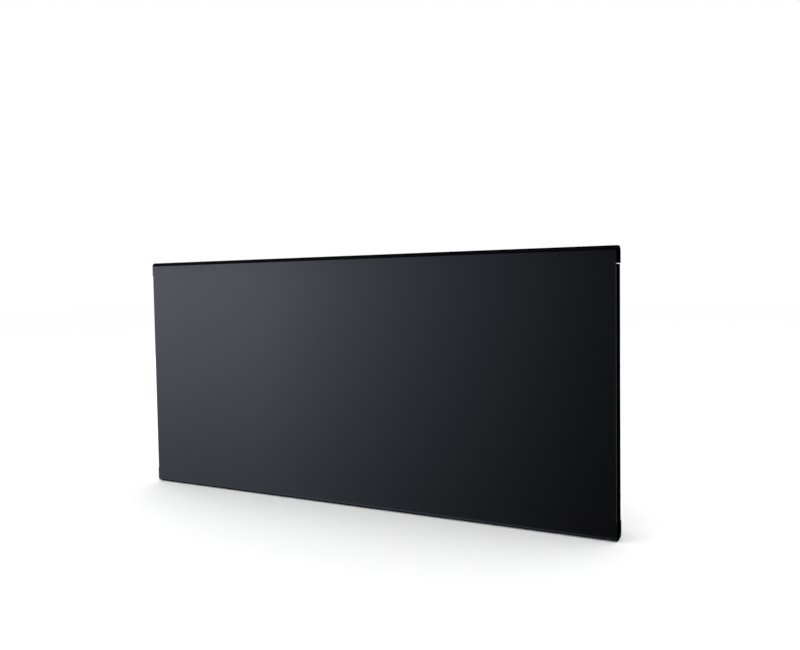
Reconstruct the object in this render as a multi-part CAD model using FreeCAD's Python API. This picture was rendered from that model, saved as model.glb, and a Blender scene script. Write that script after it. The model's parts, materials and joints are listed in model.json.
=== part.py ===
import FreeCAD, Part
import math
import os

V = FreeCAD.Vector
AXES = {"x": V(1, 0, 0), "y": V(0, 1, 0), "z": V(0, 0, 1)}

# All sizes in mm. +X is right seen from the front, +Y points to the wall, +Z is up.
# The wall is the plane Y = 0 and the middle of the panel's height is Z = 0.

# Front panel, one folded steel sheet
PANEL_WIDTH = 770.0
PANEL_HEIGHT = 370.0
PANEL_SHEET = 1.2
ROLL_FRONT_BEND = 6.0  # outer radius from the face into the roll
ROLL_FLAT = 11.5  # flat strip between the two bends of the roll
ROLL_REAR_BEND = 8.0  # outer radius at the back of the roll
LIP_DROP = 13.7  # straight part of the lip behind the roll
SIDE_BEND = 1.5  # outer radius of the side flange's bend
SIDE_FLANGE = 20.0  # straight part of the side flange
CORNER_SLIT = 1.2  # relief slit between the side flange and the roll

# Spaces between wall, casing and panel
WALL_GAP = 27.0
CASING_DEPTH = 38.5
PANEL_GAP = 1.0
END_OVERHANG = 32.0  # panel beyond the casing at each end
EDGE_INSET = 13.0  # casing below the panel's top and above its bottom

# Casing sheets
CASING_SHEET = 0.8
BACK_FLANGE = 16.0  # flange of grilles and end plates on the back panel
RAIL_LAND = 2.0  # grille's front flange beyond the rail's foot
JOINT_GAP = 0.2  # between sheet edges that meet
RIB_HEIGHT = 2.0
RIB_HALF = 8.0
RIB_END = 70.0  # rib's end from the casing's end
RIB_LEVELS = (36.0, -28.0)

# Air slots of the two grilles
SLOT_LENGTH = 44.0
SLOT_WIDTH = 4.0
SLOT_PITCH = 54.0
SLOT_ROW = 16.0  # between the two rows
SLOT_MARGIN = 20.0

# Panel fixing
RAIL_SHEET = 1.2
RAIL_FOOT = 14.0
RAIL_STEP = 4.0  # below the lip's edge
RAIL_END = 90.0  # rail's end from the casing's end
CLIP_WIDTH = 60.0
CLIP_PITCH = 230.0
SEAT_GAP = 0.3

# Screws and rivets
SCREW_SHANK = 1.5
SCREW_HEAD = 3.2
SCREW_HEAD_HEIGHT = 2.0
SCREW_LENGTH = 7.0
SCREW_END = 45.0  # outermost screw from the casing's end
END_SCREW_IN = 7.0  # end plate's screw below the grille's front flange
RIVET_SHANK = 1.6
RIVET_HEAD = 3.0
RIVET_HEAD_HEIGHT = 1.0
RIVET_END = 20.0  # outermost rivet from the rail's end
HOLE_CLEARANCE = 0.1

# Heating element
ELEMENT_RISE = 105.0  # above the casing's bottom
ROD_RADIUS = 4.0
ROD_LEFT = 30.0  # rod's end from the casing's left end
ROD_RIGHT = 36.0  # rod's end from the control partition
FIN_HUB = 7.5
FIN_SHEET = 1.6
FIN_LENGTH = 36.0
FIN_ANGLES = (0, 60, 90, 120, 180, 240, 270, 300)
FIN_TO_CASING = 3.7
HANGER_SHEET = 1.2
HANGER_HALF = 22.0
HANGER_FOOT = 12.0
HANGER_IN = 15.0  # from the rod's end
HANGER_TO_FIN = 10.0
BUSH_RADIUS = 9.0
BUSH_FLANGE = 5.0
BUSH_SPIGOT = 6.4
BUSH_BEYOND = 3.0  # spigot beyond the hanger
PIN_RADIUS = 1.6
PIN_LENGTH = 10.0

# Overheat cut-out on its shelf
CUTOUT_X = 60.0
CUTOUT_RADIUS = 8.0
CUTOUT_HEIGHT = 7.0
CUTOUT_RISE = 75.0  # shelf above the element's axis
CUTOUT_SHOULDER = 2.4  # body's seat around its neck
CUTOUT_NECK = 4.0  # neck above the shelf
BLADE_OUT = 3.2  # terminal blades from the cut-out's axis
BLADE_LENGTH = 8.0
BLADE_WIDTH = 4.8
BLADE_SHEET = 0.8
SHELF_SHEET = 1.0
SHELF_HALF = 10.0
SHELF_FRONT = 9.0  # shelf's front edge from the cut-out's axis
SHELF_FOOT = 15.0

# Control compartment
COMPARTMENT = 50.0
PARTITION_SHEET = 1.0
PARTITION_FOOT = 10.0
PARTITION_GAP = 0.5  # to the inner shield
PARTITION_END = 4.0  # short of the grilles' front flanges

# Leads
LEAD_RADIUS = 1.3
LEAD_BEND = 6.0
TIGHT_BEND = 3.0
LEAD_HOLE = 4.0
LEAD_SLOPE = 20.0  # run in which a lead crosses the casing's depth
LEAD_STRAIGHT = 12.0  # straight run next to a terminal
ELEMENT_LEAD_RISE = 20.0  # above the control box's lower end
CUTOUT_LEAD_RISE = 60.0  # above the control box's lower end
RETURN_LEAD_RISE = 58.0  # above the cut-out's shelf
NEUTRAL_STEP = 5.0  # neutral lead's step past the switch
SWITCHED_IN = 5.0  # switched lead from the control box's back
SENSOR_WIRE = 0.8
SENSOR_WIRE_IN = 14.0  # sensor lead from the control box's back
SENSOR_WIRE_SIDE = 4.0  # sensor lead from the control box's front wall
CLIP_BLOCK = 7.0
CLIP_END = 60.0  # first clip from a lead's bend

# Mains connection
BLOCK_WIDTH = 30.0
BLOCK_HEIGHT = 22.0
BLOCK_DEPTH = 16.0
BLOCK_RISE = 44.0  # above the casing's bottom
BLOCK_GAP = 1.0  # to the end plate's flange
BARRIER_GAP = 1.6
BARRIER_SEAT = 4.0  # bottom of the gaps, before the block's middle
TERMINAL_BORE = 2.6
TERMINAL_ENTRY = 8.0
TERMINAL_WELL = 2.8
TERMINAL_SEAT = 3.0  # bottom of the screw wells, before the block's middle
TERMINAL_SCREW = 2.6
TERMINAL_SCREW_LENGTH = 3.5
STUD_RADIUS = 2.0
STUD_RISE = 36.0  # above the terminal block
STUD_HEAD = 4.0
STUD_HEAD_HEIGHT = 1.2
STUD_COLLAR = 3.6
STUD_NUT = 4.0
STUD_NUT_HEIGHT = 3.0
STUD_TIP = 1.0  # beyond the nut
RING_RADIUS = 5.0  # ring terminal of the earth lead
RING_SHEET = 2.5
GLAND_X = 30.0  # from the casing's right end
GLAND_BORE = 3.7
GLAND_BODY = 7.0
GLAND_FLANGE = 10.0
GLAND_FLANGE_HEIGHT = 3.0
GLAND_COLLAR = 6.0
GLAND_TAPER = 0.8
GLAND_INSIDE = 14.0
GLAND_NUT_WALL = 3.5  # nut's corners beyond the body
GLAND_NUT_HEIGHT = 5.0

# Room sensor
SENSOR_RISE = 32.0
SENSOR_RADIUS = 7.0
SENSOR_FLANGE = 2.0
SENSOR_CAP = 4.0
SENSOR_STEP = 1.2  # cap's foot inside the flange's edge
SENSOR_TAPER = 1.4
SENSOR_SLOT = 1.2
SENSOR_SLOT_PITCH = 2.4
SENSOR_SLOT_FLOOR = 1.0  # above the flange
SENSOR_SPIGOT = 4.9
SENSOR_INSIDE = 9.0

# Control unit on the right end plate
CONTROL_DROP = 44.0  # fascia's top below the casing's top
FASCIA_SIDE = 4.25  # fascia's edge from the casing's front and back
FASCIA_SHEET = 2.2
FASCIA_CORNER = 4.0
FASCIA_TOP = 10.0
FASCIA_BOTTOM = 8.0
FASCIA_RIM = 2.0  # fascia beyond the box behind it
DISPLAY_HEIGHT = 28.0
DISPLAY_SIDE = 6.0
WINDOW_SINK = 0.2  # window below the fascia's face
WINDOW_RIM = 1.0
WINDOW_RIM_SHEET = 1.4
MODULE_EDGE = 1.0  # display module inside the window's edge
MODULE_GAP = 0.6  # between window and display module
BUTTON_PITCH = 18.0
BUTTON_LEAD = 5.0  # between display and first button's field
BUTTON_RADIUS = 5.7
BUTTON_BEVEL = 0.6
BUTTON_CLEARANCE = 0.3
BUTTON_FLANGE = 7.0
BUTTON_RIM = 1.1
BUTTON_STEM = 1.6
BUTTON_PROUD = 1.4
BUTTON_TRAVEL = 0.6
TACT_HALF = 3.0
TACT_HEIGHT = 3.5
TACT_CAP = 1.7
TACT_PLUNGER = 0.8
BOX_WALL = 1.6
COVER_DEPTH = 23.0
BOARD_DEPTH = 10.0  # from the fascia's back to the board
BOARD_SHEET = 1.6
BOARD_BACK = 2.4
BOARD_GAP = 0.3  # to the box's walls
POST_RADIUS = 2.4
POST_GAP = 0.4  # to the box's walls
BOARD_SCREW = 1.0
BOARD_SCREW_HEAD = 1.9
BOARD_SCREW_HEAD_HEIGHT = 1.4
BOARD_SCREW_END = 3.0  # screw's tip from the fascia's back
RELAY_WIDTH = 11.7
RELAY_HEIGHT = 18.0
RELAY_DEPTH = 15.0
RELAY_DROP = 4.0  # below the display's middle
RADIO_WIDTH = 11.7
RADIO_HEIGHT = 18.0
RADIO_SHEET = 0.8
RADIO_DROP = 1.0  # below the display's middle
CAN_HEIGHT = 11.0
CAN_DEPTH = 2.4
CAN_EDGE = 0.8  # can inside the radio board's edge
TRANSFORMER_WIDTH = 14.3
TRANSFORMER_HEIGHT = 16.0
TRANSFORMER_DEPTH = 14.0
TRANSFORMER_DROP = 4.0  # below the lowest button
CAPACITOR_RISE = 19.0  # above the lowest button
CAPACITOR_SIDE = 1.4  # to the cover's walls
LARGE_CAPACITOR = 5.0
LARGE_CAPACITOR_LENGTH = 18.0
SMALL_CAPACITOR = 4.0
SMALL_CAPACITOR_LENGTH = 12.0

# Mains switch
SWITCH_DROP = 26.0  # below the fascia
SWITCH_BEZEL = 2.0
SWITCH_RIM = 1.2  # bezel above and below the body
SWITCH_CORNER = 1.0
SWITCH_WIDTH = 15.0
SWITCH_WALL = 1.3
SWITCH_FLOOR = 1.5
SWITCH_DEPTH = 15.0
ROCKER_WIDTH = 9.4
ROCKER_RADIUS = 8.0
ROCKER_CLEARANCE = 0.3
ROCKER_SINK = 0.5  # rocker's axis behind the end plate's face
ROCKER_TILT = 8.0
ROCKER_HORN = 4.8  # rocker's ends before its axis
ROCKER_DIP = 1.2  # hollow between the two ends
ROCKER_BACK = 3.0  # rocker's foot behind its axis
ROCKER_FOOT = 4.0  # half of the foot's height
TRUNNION = 1.0
BEARING_WALL = 0.3  # left behind the trunnion's bearing
TRUNNION_PLAY = 0.3
TAB_LENGTH = 7.0
TAB_WIDTH = 4.8
TAB_SHEET = 0.8
TAB_OUT = 5.0  # tabs from the switch's middle

# Wall bracket and hinge
BOLT_SPACING_X = 300.0
BOLT_SPACING_Z = 160.0
BOLT_HOLE = 3.25
BRACKET_SHEET = 1.5
UPRIGHT_HALF = 18.0
UPRIGHT_DEPTH = 12.0
UPRIGHT_ABOVE = 22.0  # above the hinge pins
CROSS_HEIGHT = 30.0
CROSS_DEPTH = 8.0
PIVOT_DROP = 54.0  # hinge pins below the casing's top
PIVOT_OUT = 14.0  # hinge pins from the wall
PIVOT_PIN = 3.0
PIVOT_CLEARANCE = 0.05
PIVOT_PIN_HALF = 21.0
PIN_FIT = 0.02  # of pins and pivots that stay still in their holes
HOOK_LIP = 4.5
HOOK_FLOOR = 6.0
HOOK_RISE = 5.0
HOOK_ROOT = 8.0  # slope below the hook
LUG_SHEET = 1.5
LUG_HALF = 22.0
LUG_EAR = 8.0  # ear's inner face from the lug's middle
LUG_HEIGHT = 13.0
LUG_SHOULDER = 3.0  # base beyond the ears
LUG_EYE = 5.0
LUG_RIVET_X = 16.0
LUG_RIVET_Z = 8.0
FOOT_BELOW = 15.0  # above the upright's lower end
FOOT_BASE = 11.0
FOOT_FLANGE = 3.0
FOOT_DRAFT = 2.0  # foot wider at its flange than at its tip
FOOT_TIP = 6.0
FOOT_BEVEL = 2.0
FOOT_PEG = 2.9
PEG_LENGTH = 3.0
PEG_BARB = 0.8
PEG_POINT = 0.6

# Lift locks
LOCK_SHEET = 2.0
LOCK_PIVOT_OUT = 7.0
LOCK_PIVOT_RISE = 9.0  # above the hinge pins
LOCK_PIVOT = 2.0
LOCK_EYE = 5.0
LOCK_FINGER = 13.5
LOCK_TIP = 4.0  # height of the finger's end
LOCK_SLOPE = 3.0
LOCK_PIN_GAP = 0.4
LOCK_SPACER = 1.0
LOCK_PLAY = 0.2
LOCK_HEAD = 1.2  # pivot's heads beyond its shank
LOCK_HEAD_SHEET = 1.0

# Places that follow from the sizes
Y_BACK = -WALL_GAP
Y_FRONT = Y_BACK - CASING_DEPTH
Y_LIP = Y_FRONT - PANEL_GAP
Y_FACE = Y_LIP - ROLL_FRONT_BEND - ROLL_FLAT - ROLL_REAR_BEND
Y_IN_BACK = Y_BACK - CASING_SHEET
Y_IN_FRONT = Y_FRONT + CASING_SHEET
Y_MID = (Y_IN_BACK + Y_IN_FRONT) / 2
PANEL_X = PANEL_WIDTH / 2
PANEL_Z = PANEL_HEIGHT / 2
LIP_EDGE = PANEL_Z - ROLL_REAR_BEND - LIP_DROP
CASE_X = PANEL_X - END_OVERHANG
CASE_Z = PANEL_Z - EDGE_INSET
IN_X = CASE_X - CASING_SHEET
IN_Z = CASE_Z - CASING_SHEET
FRONT_FLANGE = CASE_Z - LIP_EDGE + RAIL_STEP + RAIL_FOOT + RAIL_LAND
FLANGE_Z = CASE_Z - FRONT_FLANGE
END_SCREW_Z = FLANGE_Z - END_SCREW_IN
RAIL_LEVEL = LIP_EDGE - RAIL_STEP - RAIL_FOOT / 2
RAIL_HALF = CASE_X - RAIL_END
PARTITION_X = CASE_X - COMPARTMENT
ELEMENT_Z = -CASE_Z + ELEMENT_RISE
ROD_X0 = -CASE_X + ROD_LEFT
ROD_X1 = PARTITION_X - ROD_RIGHT
HANGER_X = (ROD_X0 + HANGER_IN, ROD_X1 - HANGER_IN)
SHELF_Z = ELEMENT_Z + CUTOUT_RISE
NECK_RADIUS = CUTOUT_RADIUS - CUTOUT_SHOULDER
NECK_Z = SHELF_Z + SHELF_SHEET + CUTOUT_NECK
BLADE_Z = NECK_Z + BLADE_LENGTH
FASCIA_Z1 = CASE_Z - CONTROL_DROP
FASCIA_Z0 = FASCIA_Z1 - FASCIA_TOP - DISPLAY_HEIGHT - BUTTON_LEAD - 3 * BUTTON_PITCH - FASCIA_BOTTOM
FASCIA_HALF = CASING_DEPTH / 2 - FASCIA_SIDE
WINDOW_HALF = FASCIA_HALF - DISPLAY_SIDE
DISPLAY_Z = FASCIA_Z1 - FASCIA_TOP - DISPLAY_HEIGHT / 2
BUTTON_Z = DISPLAY_Z - DISPLAY_HEIGHT / 2 - BUTTON_LEAD - BUTTON_PITCH / 2
BUTTON_LEVELS = [BUTTON_Z - i * BUTTON_PITCH for i in range(3)]
BOX_HALF = FASCIA_HALF - FASCIA_RIM
BOX_Z0 = FASCIA_Z0 + FASCIA_RIM
BOX_Z1 = FASCIA_Z1 - FASCIA_RIM
POST_IN = BOX_WALL + POST_RADIUS + POST_GAP
BOARD_CORNERS = [
    (Y_MID + side * (BOX_HALF - POST_IN), z)
    for side in (-1, 1)
    for z in (BOX_Z0 + POST_IN, BOX_Z1 - POST_IN)
]
BOARD_X1 = CASE_X - BOARD_DEPTH
BOARD_X0 = BOARD_X1 - BOARD_SHEET
SKIRT_X = BOARD_X0 - BOARD_BACK
COVER_X = SKIRT_X - COVER_DEPTH
SWITCH_Z = FASCIA_Z0 - SWITCH_DROP
SWITCH_HALF = ROCKER_WIDTH / 2 + ROCKER_CLEARANCE + SWITCH_WALL
SWITCH_TALL = ROCKER_RADIUS + ROCKER_CLEARANCE + SWITCH_WALL
SWITCH_REAR = CASE_X - SWITCH_DEPTH
ROCKER_X = CASE_X - ROCKER_SINK
SENSOR_Z = -CASE_Z + SENSOR_RISE
BLOCK_X1 = CASE_X - BACK_FLANGE - BLOCK_GAP
BLOCK_X0 = BLOCK_X1 - BLOCK_WIDTH
BLOCK_Z0 = -CASE_Z + BLOCK_RISE
BLOCK_Z1 = BLOCK_Z0 + BLOCK_HEIGHT
BLOCK_Y = Y_IN_BACK - BLOCK_DEPTH / 2
POLES = [BLOCK_X0 + BLOCK_WIDTH * (i + 0.5) / 3 for i in range(3)]
STUD_Z = BLOCK_Z1 + STUD_RISE
ELEMENT_LEAD_Z = BOX_Z0 + ELEMENT_LEAD_RISE
CUTOUT_LEAD_Z = BOX_Z0 + CUTOUT_LEAD_RISE
RETURN_LEAD_Z = SHELF_Z + RETURN_LEAD_RISE
LEAD_Y = Y_IN_BACK - CLIP_BLOCK / 2
UPRIGHT_X = BOLT_SPACING_X / 2
PIVOT_Y = -PIVOT_OUT
PIVOT_Z = CASE_Z - PIVOT_DROP
UPRIGHT_Z = PIVOT_Z + UPRIGHT_ABOVE
FOOT_Z = -UPRIGHT_Z + FOOT_BELOW
LOCK_Y = -LOCK_PIVOT_OUT
LOCK_Z = PIVOT_Z + LOCK_PIVOT_RISE

# Places of repeated fasteners and feet, as X, Z pairs
BACK_SCREWS = [
    (x, z)
    for z in (-CASE_Z + BACK_FLANGE / 2, CASE_Z - BACK_FLANGE / 2)
    for x in [(CASE_X - SCREW_END) * (2 * i / 3 - 1) for i in range(4)]
] + [
    (x, z)
    for x in (-CASE_X + BACK_FLANGE / 2, CASE_X - BACK_FLANGE / 2)
    for z in (-END_SCREW_Z, END_SCREW_Z)
]
SHIELD_SCREWS = [
    (x, z)
    for x in (-CASE_X + SCREW_END, CASE_X - SCREW_END)
    for z in (-RAIL_LEVEL, RAIL_LEVEL)
] + [(-CASE_X + BACK_FLANGE / 2, 0), (CASE_X - BACK_FLANGE / 2, 0)]
RAIL_RIVETS = [((RAIL_HALF - RIVET_END) * (i / 2 - 1), RAIL_LEVEL) for i in range(5)] + [
    (middle + side, -RAIL_LEVEL)
    for middle in (-CLIP_PITCH, 0, CLIP_PITCH)
    for side in (-CLIP_WIDTH / 4, CLIP_WIDTH / 4)
]
LUG_RIVETS = [
    (side * UPRIGHT_X + x, PIVOT_Z + z)
    for side in (-1, 1)
    for x in (-LUG_RIVET_X, LUG_RIVET_X)
    for z in (-LUG_RIVET_Z, LUG_RIVET_Z)
]
HANGER_RIVETS = [
    (x, ELEMENT_Z + z)
    for x in (HANGER_X[0] - HANGER_FOOT / 2, HANGER_X[1] + HANGER_FOOT / 2)
    for z in (-HANGER_HALF / 2, HANGER_HALF / 2)
]
FEET = [(-UPRIGHT_X, FOOT_Z), (UPRIGHT_X, FOOT_Z)]


def about(middle, half):
    """Span on both sides of a middle."""
    return middle - half, middle + half


def past(low, high):
    """Span of a cutting tool, a millimetre beyond both faces."""
    return min(low, high) - 1, max(low, high) + 1


def box(x, y, z):
    """Block between two values on each axis."""
    x, y, z = sorted(x), sorted(y), sorted(z)
    return Part.makeBox(x[1] - x[0], y[1] - y[0], z[1] - z[0], V(x[0], y[0], z[0]))


def cylinder(axis, span, centre, radius):
    """Round bar along an axis; centre holds the other two coordinates in XYZ order."""
    low, high = sorted(span)
    u, v = centre
    start = {"x": V(low, u, v), "y": V(u, low, v), "z": V(u, v, low)}[axis]
    return Part.makeCylinder(radius, high - low, start, AXES[axis])


def taper(axis, span, centre, radius_at_first, radius_at_second):
    """Round bar along an axis with a different radius at each end of its span."""
    (low, r_low), (high, r_high) = sorted(zip(span, (radius_at_first, radius_at_second)))
    u, v = centre
    start = {"x": V(low, u, v), "y": V(u, low, v), "z": V(u, v, low)}[axis]
    return Part.makeCone(r_low, r_high, high - low, start, AXES[axis])


def prism(axis, span, outline):
    """Flat outline in the other two coordinates, carried along an axis."""
    low, high = sorted(span)
    place = {
        "x": lambda u, v: V(low, u, v),
        "y": lambda u, v: V(u, low, v),
        "z": lambda u, v: V(u, v, low),
    }[axis]
    points = [place(u, v) for u, v in outline]
    face = Part.Face(Part.makePolygon(points + points[:1]))
    return face.extrude(AXES[axis] * (high - low))


def join(shapes):
    """One solid out of touching shapes."""
    return shapes[0].multiFuse(shapes[1:]).removeSplitter()


def round_edges(shape, axis, radius):
    """Round all straight edges that run along an axis."""
    edges = []
    for edge in shape.Edges:
        if abs(edge.tangentAt(edge.FirstParameter).dot(AXES[axis])) > 0.999:
            edges.append(edge)
    return shape.makeFillet(radius, edges)


def mirror_x(shape):
    return shape.mirror(V(0, 0, 0), V(1, 0, 0))


def mirror_z(shape):
    return shape.mirror(V(0, 0, 0), V(0, 0, 1))


def bend(axis, span, centre, outer, sheet, toward):
    """Bent corner of a folded sheet: a quarter of a tube on the side named by two signs."""
    tube = cylinder(axis, span, centre, outer).cut(cylinder(axis, span, centre, outer - sheet))
    u = (centre[0], centre[0] + toward[0] * outer)
    v = (centre[1], centre[1] + toward[1] * outer)
    corner = {"x": (span, u, v), "y": (u, span, v), "z": (u, v, span)}[axis]
    return tube.common(box(*corner))


def lead(points, radius=LEAD_RADIUS, corner=LEAD_BEND):
    """Insulated lead: straight runs joined by arcs."""
    edges = []
    here = points[0]
    for before, turn, after in zip(points, points[1:], points[2:]):
        back = (before - turn).normalize()
        ahead = (after - turn).normalize()
        half = back.getAngle(ahead) / 2
        reach = corner / math.tan(half)
        middle = turn + (back + ahead).normalize() * (corner / math.sin(half) - corner)
        edges.append(Part.LineSegment(here, turn + back * reach).toShape())
        here = turn + ahead * reach
        edges.append(Part.Arc(turn + back * reach, middle, here).toShape())
    edges.append(Part.LineSegment(here, points[-1]).toShape())
    ring = Part.Wire(Part.Circle(points[0], points[1] - points[0], radius).toShape())
    return Part.Wire(edges).makePipeShell([ring], True, False)


def hexagon(u, v, radius):
    turns = [math.radians(60 * i) for i in range(6)]
    return [(u + radius * math.cos(a), v + radius * math.sin(a)) for a in turns]


def screw(x, z, seat, outward):
    """Pan-head screw along Y; its head stands on the seat plane, on the outward side."""
    head = seat + outward * SCREW_HEAD_HEIGHT
    rim = seat + outward * SCREW_HEAD_HEIGHT * 0.55
    return join([
        cylinder("y", (seat, rim), (x, z), SCREW_HEAD),
        taper("y", (rim, head), (x, z), SCREW_HEAD, SCREW_HEAD * 0.65),
        cylinder("y", (seat - outward * SCREW_LENGTH, seat), (x, z), SCREW_SHANK),
    ])


def rivet(x, z, span):
    """Rivet along Y through the sheets between two planes, with a domed head on each side."""
    low, high = sorted(span)
    parts = [cylinder("y", (low, high), (x, z), RIVET_SHANK)]
    for face, out in ((low, -1), (high, 1)):
        rim = face + out * RIVET_HEAD_HEIGHT * 0.5
        top = face + out * RIVET_HEAD_HEIGHT
        parts.append(cylinder("y", (face, rim), (x, z), RIVET_HEAD))
        parts.append(taper("y", (rim, top), (x, z), RIVET_HEAD, RIVET_HEAD * 0.6))
    return join(parts)


def holes(places, span, radius):
    """Round holes along Y at X, Z places."""
    return [cylinder("y", span, place, radius + HOLE_CLEARANCE) for place in places]


def slot_rows(z):
    """Two rows of long air slots through a level sheet; their number follows the length."""
    x0 = -IN_X + SLOT_MARGIN
    x1 = PARTITION_X - SLOT_MARGIN
    count = int((x1 - x0 - SLOT_LENGTH) // SLOT_PITCH) + 1
    first = (x0 + x1 - (count - 1) * SLOT_PITCH) / 2
    through = past(z - CASING_SHEET, z + CASING_SHEET)
    tools = []
    for y in about(Y_MID, SLOT_ROW / 2):
        for i in range(count):
            ends = about(first + i * SLOT_PITCH, (SLOT_LENGTH - SLOT_WIDTH) / 2)
            bar = box(ends, about(y, SLOT_WIDTH / 2), through)
            rounds = [cylinder("z", through, (end, y), SLOT_WIDTH / 2) for end in ends]
            tools.append(join([bar] + rounds))
    return tools


def front_panel():
    width = (-PANEL_X, PANEL_X)
    flat = about(0, PANEL_Z - ROLL_FRONT_BEND)
    face = box(width, (Y_FACE, Y_FACE + PANEL_SHEET), flat)
    front = (Y_FACE + ROLL_FRONT_BEND, PANEL_Z - ROLL_FRONT_BEND)
    rear = (Y_LIP - ROLL_REAR_BEND, PANEL_Z - ROLL_REAR_BEND)
    roll = [
        bend("x", width, front, ROLL_FRONT_BEND, PANEL_SHEET, (-1, 1)),
        box(width, (front[0], rear[0]), (PANEL_Z - PANEL_SHEET, PANEL_Z)),
        bend("x", width, rear, ROLL_REAR_BEND, PANEL_SHEET, (1, 1)),
        box(width, (Y_LIP - PANEL_SHEET, Y_LIP), (LIP_EDGE, rear[1])),
    ]
    body = join([face] + roll + [mirror_z(piece) for piece in roll])
    depth = (Y_FACE - 1, Y_FACE + ROLL_FRONT_BEND)
    strip = box((PANEL_X - SIDE_BEND, PANEL_X + 1), depth, (-LIP_EDGE, LIP_EDGE))
    body = body.cut([strip, mirror_x(strip)])
    tall = about(0, LIP_EDGE - CORNER_SLIT)
    middle = (PANEL_X - SIDE_BEND, Y_FACE + SIDE_BEND)
    side = [
        bend("z", tall, middle, SIDE_BEND, PANEL_SHEET, (1, -1)),
        box((PANEL_X - PANEL_SHEET, PANEL_X), (middle[1], middle[1] + SIDE_FLANGE), tall),
    ]
    return join([body] + side + [mirror_x(piece) for piece in side])


def rib(level):
    """Pressed rib: a low block with sloping sides on the back panel's outer face."""
    loops = []
    for y, less in ((Y_BACK, 0), (Y_BACK + RIB_HEIGHT, RIB_HEIGHT)):
        a = CASE_X - RIB_END - less
        b = RIB_HALF - less
        corners = [V(-a, y, level - b), V(a, y, level - b), V(a, y, level + b), V(-a, y, level + b)]
        loops.append(Part.makePolygon(corners + corners[:1]))
    return Part.makeLoft(loops, True)


def back_panel():
    sheet = box((-CASE_X, CASE_X), (Y_IN_BACK, Y_BACK), (-CASE_Z, CASE_Z))
    ribs = [rib(level) for level in RIB_LEVELS]
    hollows = [piece.translated(V(0, -CASING_SHEET, 0)) for piece in ribs]
    through = past(Y_IN_BACK, Y_BACK)
    tools = holes(BACK_SCREWS, through, SCREW_SHANK)
    tools += holes(LUG_RIVETS + HANGER_RIVETS, through, RIVET_SHANK)
    tools += holes(FEET, through, FOOT_PEG)
    tools += holes([(POLES[2], STUD_Z)], through, STUD_RADIUS)
    return join([sheet] + ribs).cut(hollows + tools)


def inner_shield():
    sheet = box((-CASE_X, CASE_X), (Y_FRONT, Y_IN_FRONT), (-CASE_Z, CASE_Z))
    through = past(Y_FRONT, Y_IN_FRONT)
    tools = holes(SHIELD_SCREWS, through, SCREW_SHANK)
    tools += holes(RAIL_RIVETS, through, RIVET_SHANK)
    return sheet.cut(tools)


def grille(side):
    """Slotted channel along the casing's top (side 1) or bottom (side -1)."""
    width = (-IN_X, IN_X)
    front = (Y_IN_FRONT, Y_IN_FRONT + CASING_SHEET)
    back = (Y_IN_BACK - CASING_SHEET, Y_IN_BACK)
    channel = join([
        box(width, (Y_IN_FRONT, Y_IN_BACK), (side * IN_Z, side * CASE_Z)),
        box(width, front, (side * FLANGE_Z, side * IN_Z)),
        box(width, back, (side * (CASE_Z - BACK_FLANGE), side * IN_Z)),
    ])
    tools = slot_rows(side * CASE_Z)
    tools += holes([p for p in SHIELD_SCREWS if p[1] * side > 0], past(*front), SCREW_SHANK)
    tools += holes([p for p in RAIL_RIVETS if p[1] * side > 0], past(*front), RIVET_SHANK)
    places = [p for p in BACK_SCREWS if p[1] * side > CASE_Z - BACK_FLANGE]
    tools += holes(places, past(*back), SCREW_SHANK)
    if side < 0:
        centre = (CASE_X - GLAND_X, Y_MID)
        tools.append(cylinder("z", past(-CASE_Z, -IN_Z), centre, GLAND_BODY + HOLE_CLEARANCE))
    return channel.cut(tools)


def end_plate(side):
    """Channel that closes the casing's left (side -1) or right (side 1) end."""
    tall = FLANGE_Z - JOINT_GAP
    flange = (side * (CASE_X - BACK_FLANGE), side * IN_X)
    front = (Y_IN_FRONT, Y_IN_FRONT + CASING_SHEET)
    back = (Y_IN_BACK - CASING_SHEET, Y_IN_BACK)
    channel = join([
        box((side * IN_X, side * CASE_X), (Y_IN_FRONT, Y_IN_BACK), (-CASE_Z, CASE_Z)),
        box(flange, front, (-tall, tall)),
        box(flange, back, (-tall, tall)),
    ])
    places = [p for p in SHIELD_SCREWS if p[0] * side > 0 and p[1] == 0]
    tools = holes(places, past(*front), SCREW_SHANK)
    places = [p for p in BACK_SCREWS if p[0] * side > 0 and abs(p[1]) < tall]
    tools += holes(places, past(*back), SCREW_SHANK)
    if side > 0:
        tools += control_openings()
    return channel.cut(tools)


def control_openings():
    """Cut-outs of the right end plate for control unit, mains switch and room sensor."""
    deep = past(IN_X, CASE_X)
    switch = about(SWITCH_Z, SWITCH_TALL + JOINT_GAP)
    return [
        box(deep, about(Y_MID, BOX_HALF + JOINT_GAP), (BOX_Z0 - JOINT_GAP, BOX_Z1 + JOINT_GAP)),
        box(deep, about(Y_MID, SWITCH_HALF + JOINT_GAP), switch),
        cylinder("x", deep, (Y_MID, SENSOR_Z), SENSOR_SPIGOT + HOLE_CLEARANCE),
    ]


def rail(x, side):
    """Stepped strip whose upright leg stands inside the panel's roll."""
    leg_y = Y_LIP - PANEL_SHEET - SEAT_GAP
    inner = ROLL_REAR_BEND - PANEL_SHEET
    rise = math.sqrt(inner ** 2 - (inner - SEAT_GAP) ** 2) - SEAT_GAP
    top = PANEL_Z - ROLL_REAR_BEND + rise
    step = LIP_EDGE - RAIL_STEP
    foot = (Y_FRONT - RAIL_SHEET, Y_FRONT)
    strip = join([
        box(x, foot, (side * (step - RAIL_FOOT), side * step)),
        box(x, (leg_y - RAIL_SHEET, Y_FRONT), (side * (step - RAIL_SHEET), side * step)),
        box(x, (leg_y - RAIL_SHEET, leg_y), (side * (step - RAIL_SHEET), side * top)),
    ])
    places = [p for p in RAIL_RIVETS if p[1] * side > 0]
    return strip.cut(holes(places, past(*foot), RIVET_SHANK))


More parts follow.
